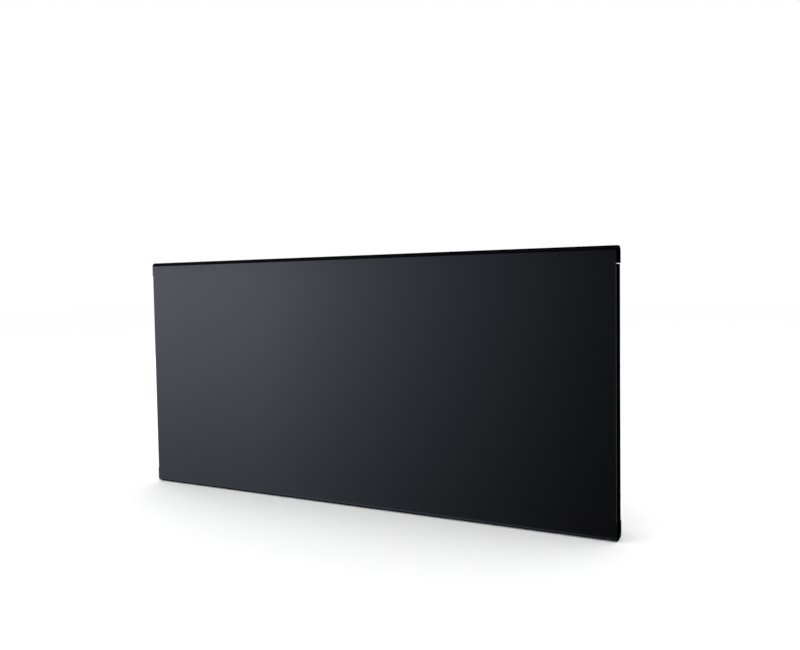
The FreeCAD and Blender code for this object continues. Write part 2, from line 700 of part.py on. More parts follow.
def panel_bottom_clips():
    middles = (-CLIP_PITCH, 0, CLIP_PITCH)
    return Part.makeCompound([rail(about(x, CLIP_WIDTH / 2), -1) for x in middles])


def casing_screws():
    behind = [screw(x, z, Y_BACK, 1) for x, z in BACK_SCREWS]
    before = [screw(x, z, Y_FRONT, -1) for x, z in SHIELD_SCREWS]
    return Part.makeCompound(behind + before)


def rivets():
    """Blind rivets of the panel fixing, the element's hangers and the hinge lugs."""
    fixing = (Y_FRONT - RAIL_SHEET, Y_IN_FRONT + CASING_SHEET)
    hanger = (Y_IN_BACK - HANGER_SHEET, Y_BACK)
    lug = (Y_IN_BACK, Y_BACK + LUG_SHEET)
    groups = ((RAIL_RIVETS, fixing), (HANGER_RIVETS, hanger), (LUG_RIVETS, lug))
    return Part.makeCompound([rivet(x, z, grip) for places, grip in groups for x, z in places])


def element_fins():
    """Extruded aluminium body: a hub with wings around it."""
    x = (HANGER_X[0] + HANGER_TO_FIN, HANGER_X[1] - HANGER_TO_FIN)
    reach = CASING_DEPTH / 2 - FIN_TO_CASING
    parts = [cylinder("x", x, (Y_MID, ELEMENT_Z), FIN_HUB)]
    for angle in FIN_ANGLES:
        across = abs(math.cos(math.radians(angle)))
        length = min(FIN_LENGTH, reach / max(across, 0.01))
        wing = box(x, (Y_MID, Y_MID + length), about(ELEMENT_Z, FIN_SHEET / 2))
        parts.append(wing.rotate(V(0, Y_MID, ELEMENT_Z), AXES["x"], angle))
    return join(parts).cut(cylinder("x", past(*x), (Y_MID, ELEMENT_Z), ROD_RADIUS + HOLE_CLEARANCE))


def heating_rod():
    return cylinder("x", (ROD_X0, ROD_X1), (Y_MID, ELEMENT_Z), ROD_RADIUS)


def element_terminals():
    centre = (Y_MID, ELEMENT_Z)
    return Part.makeCompound([
        cylinder("x", (ROD_X0 - PIN_LENGTH, ROD_X0), centre, PIN_RADIUS),
        cylinder("x", (ROD_X1, ROD_X1 + PIN_LENGTH), centre, PIN_RADIUS),
    ])


def element_insulators():
    """Ceramic bushes between the rod and its hangers."""
    centre = (Y_MID, ELEMENT_Z)
    bushes = []
    for x, out in zip(HANGER_X, (-1, 1)):
        seat = x + out * HANGER_SHEET / 2
        outer = seat + out * BUSH_FLANGE
        inner = seat - out * (HANGER_SHEET + BUSH_BEYOND)
        body = join([
            cylinder("x", (seat, outer), centre, BUSH_RADIUS),
            cylinder("x", (inner, seat), centre, BUSH_SPIGOT),
        ])
        bushes.append(body.cut(cylinder("x", past(inner, outer), centre, ROD_RADIUS + HOLE_CLEARANCE)))
    return Part.makeCompound(bushes)


def element_hangers():
    tall = about(ELEMENT_Z, HANGER_HALF)
    base = (Y_IN_BACK - HANGER_SHEET, Y_IN_BACK)
    hangers = []
    for x, out in zip(HANGER_X, (-1, 1)):
        sheet = about(x, HANGER_SHEET / 2)
        plate = join([
            box(sheet, (Y_IN_FRONT + FIN_TO_CASING, Y_IN_BACK), tall),
            box((x, x + out * (HANGER_FOOT + HANGER_SHEET / 2)), base, tall),
        ])
        tools = [cylinder("x", past(*sheet), (Y_MID, ELEMENT_Z), BUSH_SPIGOT + HOLE_CLEARANCE)]
        tools += holes([p for p in HANGER_RIVETS if (p[0] - x) * out > 0], past(*base), RIVET_SHANK)
        hangers.append(plate.cut(tools))
    return Part.makeCompound(hangers)


def cutout_bracket():
    x = about(CUTOUT_X, SHELF_HALF)
    sheet = (SHELF_Z, SHELF_Z + SHELF_SHEET)
    shelf = join([
        box(x, (Y_MID - SHELF_FRONT, Y_IN_BACK), sheet),
        box(x, (Y_IN_BACK - SHELF_SHEET, Y_IN_BACK), (SHELF_Z, SHELF_Z + SHELF_FOOT)),
    ])
    return shelf.cut(cylinder("z", past(*sheet), (CUTOUT_X, Y_MID), NECK_RADIUS + HOLE_CLEARANCE))


def overheat_cutout():
    """Round cut-out under the shelf; its neck and two blades stand above."""
    centre = (CUTOUT_X, Y_MID)
    parts = [
        cylinder("z", (SHELF_Z - CUTOUT_HEIGHT, SHELF_Z), centre, CUTOUT_RADIUS),
        cylinder("z", (SHELF_Z, NECK_Z), centre, NECK_RADIUS),
    ]
    for x in about(CUTOUT_X, BLADE_OUT):
        parts.append(box(about(x, BLADE_SHEET / 2), about(Y_MID, BLADE_WIDTH / 2), (NECK_Z, BLADE_Z)))
    return join(parts)


def control_partition():
    """Upright sheet that keeps the element's heat from the control compartment."""
    tall = about(0, FLANGE_Z - PARTITION_END)
    sheet = (PARTITION_X, PARTITION_X + PARTITION_SHEET)
    foot = (PARTITION_X - PARTITION_FOOT, PARTITION_X)
    plate = join([
        box(sheet, (Y_IN_FRONT + PARTITION_GAP, Y_IN_BACK), tall),
        box(foot, (Y_IN_BACK - PARTITION_SHEET, Y_IN_BACK), tall),
    ])
    levels = (ELEMENT_LEAD_Z, CUTOUT_LEAD_Z)
    return plate.cut([cylinder("x", past(*sheet), (Y_MID, z), LEAD_HOLE) for z in levels])


def terminal_block():
    front = Y_IN_BACK - BLOCK_DEPTH
    level = (BLOCK_Z0 + BLOCK_Z1) / 2
    entry = (BLOCK_Z0 - 1, BLOCK_Z0 + TERMINAL_ENTRY)
    tools = []
    for x in POLES:
        tools.append(cylinder("z", entry, (x, BLOCK_Y), TERMINAL_BORE))
        tools.append(cylinder("y", (front - 1, BLOCK_Y - TERMINAL_SEAT), (x, level), TERMINAL_WELL))
    for i in (1, 2):
        gap = about(BLOCK_X0 + BLOCK_WIDTH * i / 3, BARRIER_GAP / 2)
        tools.append(box(gap, (front - 1, BLOCK_Y - BARRIER_SEAT), past(BLOCK_Z0, BLOCK_Z1)))
    return box((BLOCK_X0, BLOCK_X1), (front, Y_IN_BACK), (BLOCK_Z0, BLOCK_Z1)).cut(tools)


def terminal_screws():
    level = (BLOCK_Z0 + BLOCK_Z1) / 2
    seat = BLOCK_Y - TERMINAL_SEAT
    span = (seat - TERMINAL_SCREW_LENGTH, seat)
    return Part.makeCompound([cylinder("y", span, (x, level), TERMINAL_SCREW) for x in POLES])


def earth_stud():
    """Stud with collar, ring terminal and nut; its head lies on the back panel's outer face."""
    x, z = POLES[2], STUD_Z
    ring = about(BLOCK_Y, RING_SHEET / 2)
    nut = (ring[0] - STUD_NUT_HEIGHT, ring[0])
    return join([
        cylinder("y", (nut[0] - STUD_TIP, Y_BACK), (x, z), STUD_RADIUS),
        cylinder("y", (Y_BACK, Y_BACK + STUD_HEAD_HEIGHT), (x, z), STUD_HEAD),
        cylinder("y", (ring[1], Y_IN_BACK), (x, z), STUD_COLLAR),
        cylinder("y", ring, (x, z), RING_RADIUS),
        prism("y", nut, hexagon(x, z, STUD_NUT)),
    ])


def cord_gland():
    """Cord inlet through the bottom grille: collar and flange below, threaded body above."""
    centre = (CASE_X - GLAND_X, Y_MID)
    flange = -CASE_Z - GLAND_FLANGE_HEIGHT
    bottom = flange - GLAND_COLLAR
    top = -CASE_Z + GLAND_INSIDE
    body = join([
        taper("z", (bottom, flange), centre, GLAND_BODY - GLAND_TAPER, GLAND_BODY),
        cylinder("z", (flange, -CASE_Z), centre, GLAND_FLANGE),
        cylinder("z", (-CASE_Z, top), centre, GLAND_BODY),
    ])
    return body.cut(cylinder("z", past(bottom, top), centre, GLAND_BORE))


def gland_nut():
    x, y = CASE_X - GLAND_X, Y_MID
    tall = (-IN_Z, -IN_Z + GLAND_NUT_HEIGHT)
    nut = prism("z", tall, hexagon(x, y, GLAND_BODY + GLAND_NUT_WALL))
    return nut.cut(cylinder("z", past(*tall), (x, y), GLAND_BODY + HOLE_CLEARANCE))


def room_sensor():
    """Slotted cap on the end plate with a spigot through it."""
    centre = (Y_MID, SENSOR_Z)
    flange = CASE_X + SENSOR_FLANGE
    top = flange + SENSOR_CAP
    foot = SENSOR_RADIUS - SENSOR_STEP
    cap = join([
        cylinder("x", (CASE_X, flange), centre, SENSOR_RADIUS),
        taper("x", (flange, top), centre, foot, foot - SENSOR_TAPER),
        cylinder("x", (CASE_X - SENSOR_INSIDE, CASE_X), centre, SENSOR_SPIGOT),
    ])
    deep = (flange + SENSOR_SLOT_FLOOR, top + 1)
    tall = about(SENSOR_Z, SENSOR_RADIUS)
    middles = [Y_MID + i * SENSOR_SLOT_PITCH for i in (-1, 0, 1)]
    return cap.cut([box(deep, about(y, SENSOR_SLOT / 2), tall) for y in middles])


def live_lead():
    x = POLES[0]
    level = SWITCH_Z - TAB_OUT
    return lead([
        V(x, BLOCK_Y, BLOCK_Z1),
        V(x, BLOCK_Y, level - LEAD_SLOPE),
        V(x, Y_MID, level),
        V(SWITCH_REAR - TAB_LENGTH, Y_MID, level),
    ])


def neutral_lead():
    x = POLES[1]
    return lead([
        V(x, BLOCK_Y, BLOCK_Z1),
        V(x, BLOCK_Y, STUD_Z + LEAD_STRAIGHT),
        V(x + NEUTRAL_STEP, BLOCK_Y, SWITCH_Z - LEAD_STRAIGHT),
        V(x + NEUTRAL_STEP, BLOCK_Y, BOX_Z0),
    ])


def switched_lead():
    level = SWITCH_Z + TAB_OUT
    x = COVER_X + SWITCHED_IN
    return lead([
        V(SWITCH_REAR - TAB_LENGTH, Y_MID, level),
        V(x, Y_MID, level),
        V(x, Y_MID, BOX_Z0),
    ], corner=TIGHT_BEND)


def element_lead():
    start = ROD_X1 + PIN_LENGTH
    turn = (start + PARTITION_X) / 2
    return lead([
        V(start, Y_MID, ELEMENT_Z),
        V(turn, Y_MID, ELEMENT_Z),
        V(turn, Y_MID, ELEMENT_LEAD_Z),
        V(COVER_X, Y_MID, ELEMENT_LEAD_Z),
    ])


def cutout_lead():
    x = CUTOUT_X + BLADE_OUT
    turn = PARTITION_X - LEAD_BEND
    return lead([
        V(COVER_X, Y_MID, CUTOUT_LEAD_Z),
        V(turn, Y_MID, CUTOUT_LEAD_Z),
        V(turn - LEAD_SLOPE, LEAD_Y, CUTOUT_LEAD_Z),
        V(x, LEAD_Y, CUTOUT_LEAD_Z),
        V(x, Y_MID, CUTOUT_LEAD_Z - LEAD_SLOPE),
        V(x, Y_MID, BLADE_Z),
    ])


def return_lead():
    x = CUTOUT_X - BLADE_OUT
    end = ROD_X0 - PIN_LENGTH
    turn = (end - IN_X) / 2
    return lead([
        V(x, Y_MID, BLADE_Z),
        V(x, Y_MID, BLADE_Z + LEAD_STRAIGHT),
        V(x, LEAD_Y, RETURN_LEAD_Z),
        V(turn, LEAD_Y, RETURN_LEAD_Z),
        V(turn, LEAD_Y, ELEMENT_Z + LEAD_SLOPE),
        V(turn, Y_MID, ELEMENT_Z),
        V(end, Y_MID, ELEMENT_Z),
    ], corner=TIGHT_BEND)


def earth_lead():
    x = POLES[2]
    return lead([V(x, BLOCK_Y, BLOCK_Z1), V(x, BLOCK_Y, STUD_Z - RING_RADIUS)])


def sensor_lead():
    x = COVER_X + SENSOR_WIRE_IN
    y = Y_MID - BOX_HALF + SENSOR_WIRE_SIDE
    return lead([
        V(CASE_X - SENSOR_INSIDE, Y_MID, SENSOR_Z),
        V(x, Y_MID, SENSOR_Z),
        V(x, y, SENSOR_Z + LEAD_SLOPE),
        V(x, y, BOX_Z0),
    ], radius=SENSOR_WIRE)


def lead_clips():
    """Small blocks on the back panel that hold the two long leads."""
    half = CLIP_BLOCK / 2
    step = (CASE_X + CUTOUT_X - 2 * CLIP_END) / 2
    places = [(x, CUTOUT_LEAD_Z) for x in (CUTOUT_X + CLIP_END, PARTITION_X - CLIP_END)]
    places += [(CUTOUT_X - CLIP_END - i * step, RETURN_LEAD_Z) for i in range(3)]
    clips = []
    for x, z in places:
        span = about(x, half)
        block = box(span, (Y_IN_BACK - CLIP_BLOCK, Y_IN_BACK), about(z, half))
        clips.append(block.cut(cylinder("x", past(*span), (LEAD_Y, z), LEAD_RADIUS + HOLE_CLEARANCE)))
    return Part.makeCompound(clips)


def box_walls(x, inset):
    """Outline of the control box between two X values, drawn in by an inset."""
    return box(x, about(Y_MID, BOX_HALF - inset), (BOX_Z0 + inset, BOX_Z1 - inset))


def control_fascia():
    """Moulded front of the control unit with the skirt and board posts behind it."""
    face = (CASE_X, CASE_X + FASCIA_SHEET)
    plate = box(face, about(Y_MID, FASCIA_HALF), (FASCIA_Z0, FASCIA_Z1))
    plate = round_edges(plate, "x", FASCIA_CORNER)
    skirt = box_walls((SKIRT_X, CASE_X), 0).cut(box_walls((SKIRT_X - 1, CASE_X), BOX_WALL))
    posts = [cylinder("x", (BOARD_X1, CASE_X), place, POST_RADIUS) for place in BOARD_CORNERS]
    tools = [box(past(*face), about(Y_MID, WINDOW_HALF), about(DISPLAY_Z, DISPLAY_HEIGHT / 2))]
    for z in BUTTON_LEVELS:
        tools.append(cylinder("x", past(*face), (Y_MID, z), BUTTON_RADIUS + BUTTON_CLEARANCE))
    for place in BOARD_CORNERS:
        deep = past(BOARD_X1, CASE_X - BOARD_SCREW_END)
        tools.append(cylinder("x", deep, place, BOARD_SCREW + PIN_FIT))
    return join([plate, skirt] + posts).cut(tools)


def display_window():
    """Smoked window: it fills the fascia's opening and its rim lies behind the fascia."""
    half = WINDOW_HALF - JOINT_GAP / 2
    tall = DISPLAY_HEIGHT / 2 - JOINT_GAP / 2
    face = (CASE_X, CASE_X + FASCIA_SHEET - WINDOW_SINK)
    rim = (CASE_X - WINDOW_RIM_SHEET, CASE_X)
    return join([
        box(face, about(Y_MID, half), about(DISPLAY_Z, tall)),
        box(rim, about(Y_MID, half + WINDOW_RIM), about(DISPLAY_Z, tall + WINDOW_RIM)),
    ])


def display_module():
    deep = (BOARD_X1, CASE_X - WINDOW_RIM_SHEET - MODULE_GAP)
    tall = about(DISPLAY_Z, DISPLAY_HEIGHT / 2 - MODULE_EDGE)
    return box(deep, about(Y_MID, WINDOW_HALF - MODULE_EDGE), tall)


def button(z):
    """Round push button: cap through the fascia, rim behind it, stem over its tact switch."""
    centre = (Y_MID, z)
    rim = CASE_X - BUTTON_CLEARANCE
    proud = CASE_X + FASCIA_SHEET + BUTTON_PROUD
    tip = BOARD_X1 + TACT_HEIGHT + TACT_PLUNGER + BUTTON_TRAVEL + BUTTON_CLEARANCE
    return join([
        cylinder("x", (rim - BUTTON_RIM, rim), centre, BUTTON_FLANGE),
        cylinder("x", (rim, proud - BUTTON_BEVEL), centre, BUTTON_RADIUS),
        taper("x", (proud - BUTTON_BEVEL, proud), centre, BUTTON_RADIUS, BUTTON_RADIUS - BUTTON_BEVEL),
        cylinder("x", (tip, rim - BUTTON_RIM), centre, BUTTON_STEM),
    ])


def tact_switches():
    switches = []
    top = BOARD_X1 + TACT_HEIGHT
    for z in BUTTON_LEVELS:
        body = box((BOARD_X1, top), about(Y_MID, TACT_HALF), about(z, TACT_HALF))
        plunger = cylinder("x", (top, top + TACT_PLUNGER), (Y_MID, z), TACT_CAP)
        switches.append(join([body, plunger]))
    return Part.makeCompound(switches)


def control_board():
    sheet = (BOARD_X0, BOARD_X1)
    board = box_walls(sheet, BOX_WALL + BOARD_GAP)
    hole = BOARD_SCREW + HOLE_CLEARANCE
    return board.cut([cylinder("x", past(*sheet), place, hole) for place in BOARD_CORNERS])


def board_screws():
    screws = []
    for place in BOARD_CORNERS:
        head = cylinder("x", (BOARD_X0 - BOARD_SCREW_HEAD_HEIGHT, BOARD_X0), place, BOARD_SCREW_HEAD)
        shank = cylinder("x", (BOARD_X0, CASE_X - BOARD_SCREW_END), place, BOARD_SCREW)
        screws.append(join([head, shank]))
    return Part.makeCompound(screws)


def power_relay():
    top = DISPLAY_Z - RELAY_DROP
    deep = (BOARD_X0 - RELAY_DEPTH, BOARD_X0)
    return box(deep, about(Y_MID, RELAY_WIDTH / 2), (top - RELAY_HEIGHT, top))


def wifi_module():
    """Small radio board with a screening can."""
    low = DISPLAY_Z - RADIO_DROP
    back = BOARD_X0 - RADIO_SHEET
    board = box((back, BOARD_X0), about(Y_MID, RADIO_WIDTH / 2), (low, low + RADIO_HEIGHT))
    tall = (low + CAN_EDGE, low + CAN_EDGE + CAN_HEIGHT)
    can = box((back - CAN_DEPTH, back), about(Y_MID, RADIO_WIDTH / 2 - CAN_EDGE), tall)
    return join([board, can])


def power_supply():
    """Transformer block and two capacitors on the back of the board."""
    low = BUTTON_LEVELS[-1] - TRANSFORMER_DROP
    level = BUTTON_LEVELS[-1] + CAPACITOR_RISE
    side = BOX_HALF - BOX_WALL - CAPACITOR_SIDE
    block = box(
        (BOARD_X0 - TRANSFORMER_DEPTH, BOARD_X0),
        about(Y_MID, TRANSFORMER_WIDTH / 2),
        (low, low + TRANSFORMER_HEIGHT),
    )
    large = (Y_MID - side + LARGE_CAPACITOR, level)
    small = (Y_MID + side - SMALL_CAPACITOR, level)
    return Part.makeCompound([
        block,
        cylinder("x", (BOARD_X0 - LARGE_CAPACITOR_LENGTH, BOARD_X0), large, LARGE_CAPACITOR),
        cylinder("x", (BOARD_X0 - SMALL_CAPACITOR_LENGTH, BOARD_X0), small, SMALL_CAPACITOR),
    ])


def control_cover():
    outside = box_walls((COVER_X, SKIRT_X), 0)
    return outside.cut(box_walls((COVER_X + BOX_WALL, SKIRT_X + 1), BOX_WALL))


def mains_switch_body():
    """Switch housing with a bezel on the end plate, two tabs and the rocker's bearing."""
    face = CASE_X + SWITCH_BEZEL
    bezel = box((CASE_X, face), about(Y_MID, SWITCH_WIDTH / 2), about(SWITCH_Z, SWITCH_TALL + SWITCH_RIM))
    shell = box((SWITCH_REAR, CASE_X), about(Y_MID, SWITCH_HALF), about(SWITCH_Z, SWITCH_TALL))
    parts = [round_edges(bezel, "x", SWITCH_CORNER), shell]
    for z in about(SWITCH_Z, TAB_OUT):
        tab = (SWITCH_REAR - TAB_LENGTH, SWITCH_REAR)
        parts.append(box(tab, about(Y_MID, TAB_SHEET / 2), about(z, TAB_WIDTH / 2)))
    cavity = box(
        (SWITCH_REAR + SWITCH_FLOOR, face + 1),
        about(Y_MID, SWITCH_HALF - SWITCH_WALL),
        about(SWITCH_Z, SWITCH_TALL - SWITCH_WALL),
    )
    reach = about(Y_MID, SWITCH_HALF - BEARING_WALL)
    bearing = cylinder("y", reach, (ROCKER_X, SWITCH_Z), TRUNNION + PIVOT_CLEARANCE)
    return join(parts).cut([cavity, bearing])


def mains_rocker():
    """Rocker with a hollowed top, pressed in at its upper end."""
    wide = about(Y_MID, ROCKER_WIDTH / 2)
    horn = ROCKER_X + ROCKER_HORN
    end = ROCKER_RADIUS + 1
    outline = [
        (ROCKER_X - ROCKER_BACK, SWITCH_Z - ROCKER_FOOT),
        (ROCKER_X - ROCKER_BACK, SWITCH_Z + ROCKER_FOOT),
        (ROCKER_X + TRUNNION, SWITCH_Z + end),
        (horn, SWITCH_Z + end),
        (horn - ROCKER_DIP, SWITCH_Z),
        (horn, SWITCH_Z - end),
        (ROCKER_X + TRUNNION, SWITCH_Z - end),
    ]
    drum = cylinder("y", wide, (ROCKER_X, SWITCH_Z), ROCKER_RADIUS)
    reach = about(Y_MID, SWITCH_HALF - BEARING_WALL - TRUNNION_PLAY)
    pivot = cylinder("y", reach, (ROCKER_X, SWITCH_Z), TRUNNION)
    rocker = join([prism("y", wide, outline).common(drum), pivot])
    return rocker.rotate(V(ROCKER_X, Y_MID, SWITCH_Z), AXES["y"], -ROCKER_TILT)


def hinge_lug(side):
    """Lug on the casing's back: a base with two ears that carry the hinge pin."""
    x = side * UPRIGHT_X
    base = (Y_BACK, Y_BACK + LUG_SHEET)
    root = LUG_HEIGHT - LUG_SHOULDER
    outline = [
        (Y_BACK, PIVOT_Z - root),
        (PIVOT_Y, PIVOT_Z - LUG_EYE),
        (PIVOT_Y, PIVOT_Z + LUG_EYE),
        (Y_BACK, PIVOT_Z + root),
    ]
    parts = [box(about(x, LUG_HALF), base, about(PIVOT_Z, LUG_HEIGHT))]
    for ear in (x - LUG_EAR - LUG_SHEET, x + LUG_EAR):
        span = (ear, ear + LUG_SHEET)
        parts.append(prism("x", span, outline))
        parts.append(cylinder("x", span, (PIVOT_Y, PIVOT_Z), LUG_EYE))
    tools = [cylinder("x", about(x, LUG_HALF), (PIVOT_Y, PIVOT_Z), PIVOT_PIN + PIN_FIT)]
    tools += holes([p for p in LUG_RIVETS if p[0] * side > 0], past(*base), RIVET_SHANK)
    return join(parts).cut(tools)


def hinge_pin(side):
    return cylinder("x", about(side * UPRIGHT_X, PIVOT_PIN_HALF), (PIVOT_Y, PIVOT_Z), PIVOT_PIN)


def spacer_foot(centre):
    """Foot that keeps the casing off the wall; a peg snaps into the back panel."""
    flange = Y_BACK + FOOT_FLANGE
    tip = -BRACKET_SHEET - SEAT_GAP
    bevel = tip - FOOT_BEVEL
    return join([
        cylinder("y", (Y_BACK, flange), centre, FOOT_BASE),
        taper("y", (flange, bevel), centre, FOOT_TIP + FOOT_DRAFT, FOOT_TIP),
        taper("y", (bevel, tip), centre, FOOT_TIP, FOOT_TIP - FOOT_BEVEL),
        cylinder("y", (Y_IN_BACK, Y_BACK), centre, FOOT_PEG),
        taper("y", (Y_IN_BACK - PEG_LENGTH, Y_IN_BACK), centre, FOOT_PEG - PEG_POINT, FOOT_PEG + PEG_BARB),
    ])


def upright(side):
    """Bracket channel against the wall; its two sides carry the hooks for a hinge pin."""
    x = side * UPRIGHT_X
    tall = (-UPRIGHT_Z, UPRIGHT_Z)
    notch = PIVOT_PIN + PIVOT_CLEARANCE
    tip = PIVOT_Y - notch - HOOK_LIP
    low = PIVOT_Z - notch - HOOK_FLOOR
    hook = [
        (-UPRIGHT_DEPTH, low - HOOK_ROOT),
        (tip, low),
        (tip, PIVOT_Z + HOOK_RISE),
        (-UPRIGHT_DEPTH, PIVOT_Z + HOOK_RISE),
    ]
    across = about(x, UPRIGHT_HALF)
    parts = [box(across, (-BRACKET_SHEET, 0), tall)]
    for edge in (across[0], across[1] - BRACKET_SHEET):
        span = (edge, edge + BRACKET_SHEET)
        parts.append(box(span, (-UPRIGHT_DEPTH, -BRACKET_SHEET), tall))
        parts.append(prism("x", span, hook))
    tools = [
        cylinder("x", past(*across), (PIVOT_Y, PIVOT_Z), notch),
        box(past(*across), about(PIVOT_Y, notch), (PIVOT_Z, UPRIGHT_Z + 1)),
        cylinder("x", lock_side(side), (LOCK_Y, LOCK_Z), LOCK_PIVOT + PIN_FIT),
    ]
    for z in about(0, BOLT_SPACING_Z / 2):
        tools.append(cylinder("y", past(-BRACKET_SHEET, 0), (x, z), BOLT_HOLE))
    return join(parts).cut(tools)


def lock_side(side):
    """X span of the upright's outer flange, where the lift lock turns."""
    edge = side * (UPRIGHT_X + UPRIGHT_HALF)
    return edge - side * BRACKET_SHEET, edge


def cross_rail(side):
    wide = about(0, UPRIGHT_X - UPRIGHT_HALF)
    low, high = about(side * BOLT_SPACING_Z / 2, CROSS_HEIGHT / 2)
    return join([
        box(wide, (-BRACKET_SHEET, 0), (low, high)),
        box(wide, (-CROSS_DEPTH, -BRACKET_SHEET), (low, low + BRACKET_SHEET)),
        box(wide, (-CROSS_DEPTH, -BRACKET_SHEET), (high - BRACKET_SHEET, high)),
    ])


def lift_lock(side):
    """Lever over a hinge pin: it falls shut and keeps the pin in its hook."""
    outer = lock_side(side)[0] - side * LOCK_SPACER
    span = (outer - side * LOCK_SHEET, outer)
    low = PIVOT_Z + PIVOT_PIN + LOCK_PIN_GAP
    tip = LOCK_Y - LOCK_FINGER
    finger = [
        (LOCK_Y, low),
        (tip, low),
        (tip, low + LOCK_TIP),
        (tip + LOCK_SLOPE, low + LOCK_TIP + LOCK_SLOPE),
        (LOCK_Y, LOCK_Z + LOCK_EYE),
    ]
    lever = join([
        prism("x", span, finger),
        cylinder("x", span, (LOCK_Y, LOCK_Z), LOCK_EYE),
    ])
    return lever.cut(cylinder("x", past(*span), (LOCK_Y, LOCK_Z), LOCK_PIVOT + PIVOT_CLEARANCE))


def lock_pivots():
    """Shouldered rivets on which the lift locks turn."""
    centre = (LOCK_Y, LOCK_Z)
    head = LOCK_PIVOT + LOCK_HEAD
    pivots = []
    for side in (-1, 1):
        inner, outer = lock_side(side)
        shoulder = inner - side * (LOCK_SPACER - LOCK_PLAY)
        stop = inner - side * (LOCK_SPACER + LOCK_SHEET + LOCK_PLAY)
        pivots.append(join([
            cylinder("x", (stop, outer), centre, LOCK_PIVOT),
            cylinder("x", (shoulder, inner), centre, head),
            cylinder("x", (stop - side * LOCK_HEAD_SHEET, stop), centre, head),
            cylinder("x", (outer, outer + side * LOCK_HEAD_SHEET), centre, head),
        ]))
    return Part.makeCompound(pivots)


def nodes():
    """Every node's name and shape."""
    return {
        "front_panel": front_panel(),
        "back_panel": back_panel(),
        "inner_shield": inner_shield(),
        "top_grille": grille(1),
        "bottom_grille": grille(-1),
        "left_end_plate": end_plate(-1),
        "right_end_plate": end_plate(1),
        "panel_hanger_rail": rail((-RAIL_HALF, RAIL_HALF), 1),
        "panel_bottom_clips": panel_bottom_clips(),
        "rivets": rivets(),
        "casing_screws": casing_screws(),
        "element_fins": element_fins(),
        "heating_rod": heating_rod(),
        "element_terminals": element_terminals(),
        "element_insulators": element_insulators(),
        "element_hangers": element_hangers(),
        "cutout_bracket": cutout_bracket(),
        "overheat_cutout": overheat_cutout(),
        "control_partition": control_partition(),
        "terminal_block": terminal_block(),
        "terminal_screws": terminal_screws(),
        "earth_stud": earth_stud(),
        "cord_gland": cord_gland(),
        "gland_nut": gland_nut(),
        "room_sensor": room_sensor(),
        "live_lead": live_lead(),
        "neutral_lead": neutral_lead(),
        "switched_lead": switched_lead(),
        "element_lead": element_lead(),
        "cutout_lead": cutout_lead(),
        "return_lead": return_lead(),
        "earth_lead": earth_lead(),
        "sensor_lead": sensor_lead(),
        "lead_clips": lead_clips(),
        "control_fascia": control_fascia(),
        "display_window": display_window(),
        "display_module": display_module(),
        "plus_button": button(BUTTON_LEVELS[0]),
        "mode_button": button(BUTTON_LEVELS[1]),
        "minus_button": button(BUTTON_LEVELS[2]),
        "tact_switches": tact_switches(),
        "control_board": control_board(),
        "board_screws": board_screws(),
        "power_relay": power_relay(),
        "wifi_module": wifi_module(),
        "power_supply": power_supply(),
        "control_cover": control_cover(),
        "mains_switch_body": mains_switch_body(),
        "mains_rocker": mains_rocker(),
        "hinge_lugs": Part.makeCompound([hinge_lug(-1), hinge_lug(1)]),
        "hinge_pins": Part.makeCompound([hinge_pin(-1), hinge_pin(1)]),
        "spacer_feet": Part.makeCompound([spacer_foot(place) for place in FEET]),
        "bracket_left_upright": upright(-1),
        "bracket_right_upright": upright(1),
        "bracket_upper_rail": cross_rail(1),
        "bracket_lower_rail": cross_rail(-1),
        "left_lift_lock": lift_lock(-1),
        "right_lift_lock": lift_lock(1),
        "lock_pivots": lock_pivots(),
    }


os.makedirs("parts", exist_ok=True)
for name, shape in nodes().items():
    shape.exportStep(f"parts/{name}.step")
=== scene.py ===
import json
import math

import bmesh
import bpy
from mathutils import Matrix, Vector
from mathutils.bvhtree import BVHTree


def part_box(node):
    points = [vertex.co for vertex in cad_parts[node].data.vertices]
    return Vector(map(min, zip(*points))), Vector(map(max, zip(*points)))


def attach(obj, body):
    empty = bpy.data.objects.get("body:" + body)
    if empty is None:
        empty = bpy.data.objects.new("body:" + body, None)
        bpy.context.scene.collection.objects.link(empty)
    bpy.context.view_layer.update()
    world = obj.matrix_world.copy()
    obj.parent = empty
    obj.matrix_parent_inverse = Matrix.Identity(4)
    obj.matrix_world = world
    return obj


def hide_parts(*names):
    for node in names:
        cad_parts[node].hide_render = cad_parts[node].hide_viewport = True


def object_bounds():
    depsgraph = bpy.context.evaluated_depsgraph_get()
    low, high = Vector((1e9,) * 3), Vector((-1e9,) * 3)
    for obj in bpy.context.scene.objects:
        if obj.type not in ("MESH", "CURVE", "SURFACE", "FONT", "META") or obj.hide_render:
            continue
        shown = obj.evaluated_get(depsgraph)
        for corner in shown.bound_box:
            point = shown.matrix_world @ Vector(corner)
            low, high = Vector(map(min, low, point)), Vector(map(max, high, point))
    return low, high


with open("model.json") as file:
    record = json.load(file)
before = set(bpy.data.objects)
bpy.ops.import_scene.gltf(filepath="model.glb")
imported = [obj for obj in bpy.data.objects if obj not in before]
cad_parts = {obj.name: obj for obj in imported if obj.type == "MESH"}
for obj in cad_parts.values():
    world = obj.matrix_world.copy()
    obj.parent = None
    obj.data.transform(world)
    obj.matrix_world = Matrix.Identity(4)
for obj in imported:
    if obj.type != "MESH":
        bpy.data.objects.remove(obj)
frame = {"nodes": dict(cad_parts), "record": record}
CAD_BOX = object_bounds()

# Sizes are in mm and become metres through MM. +X is right, +Y points to the wall, +Z is up.
MM = 0.001

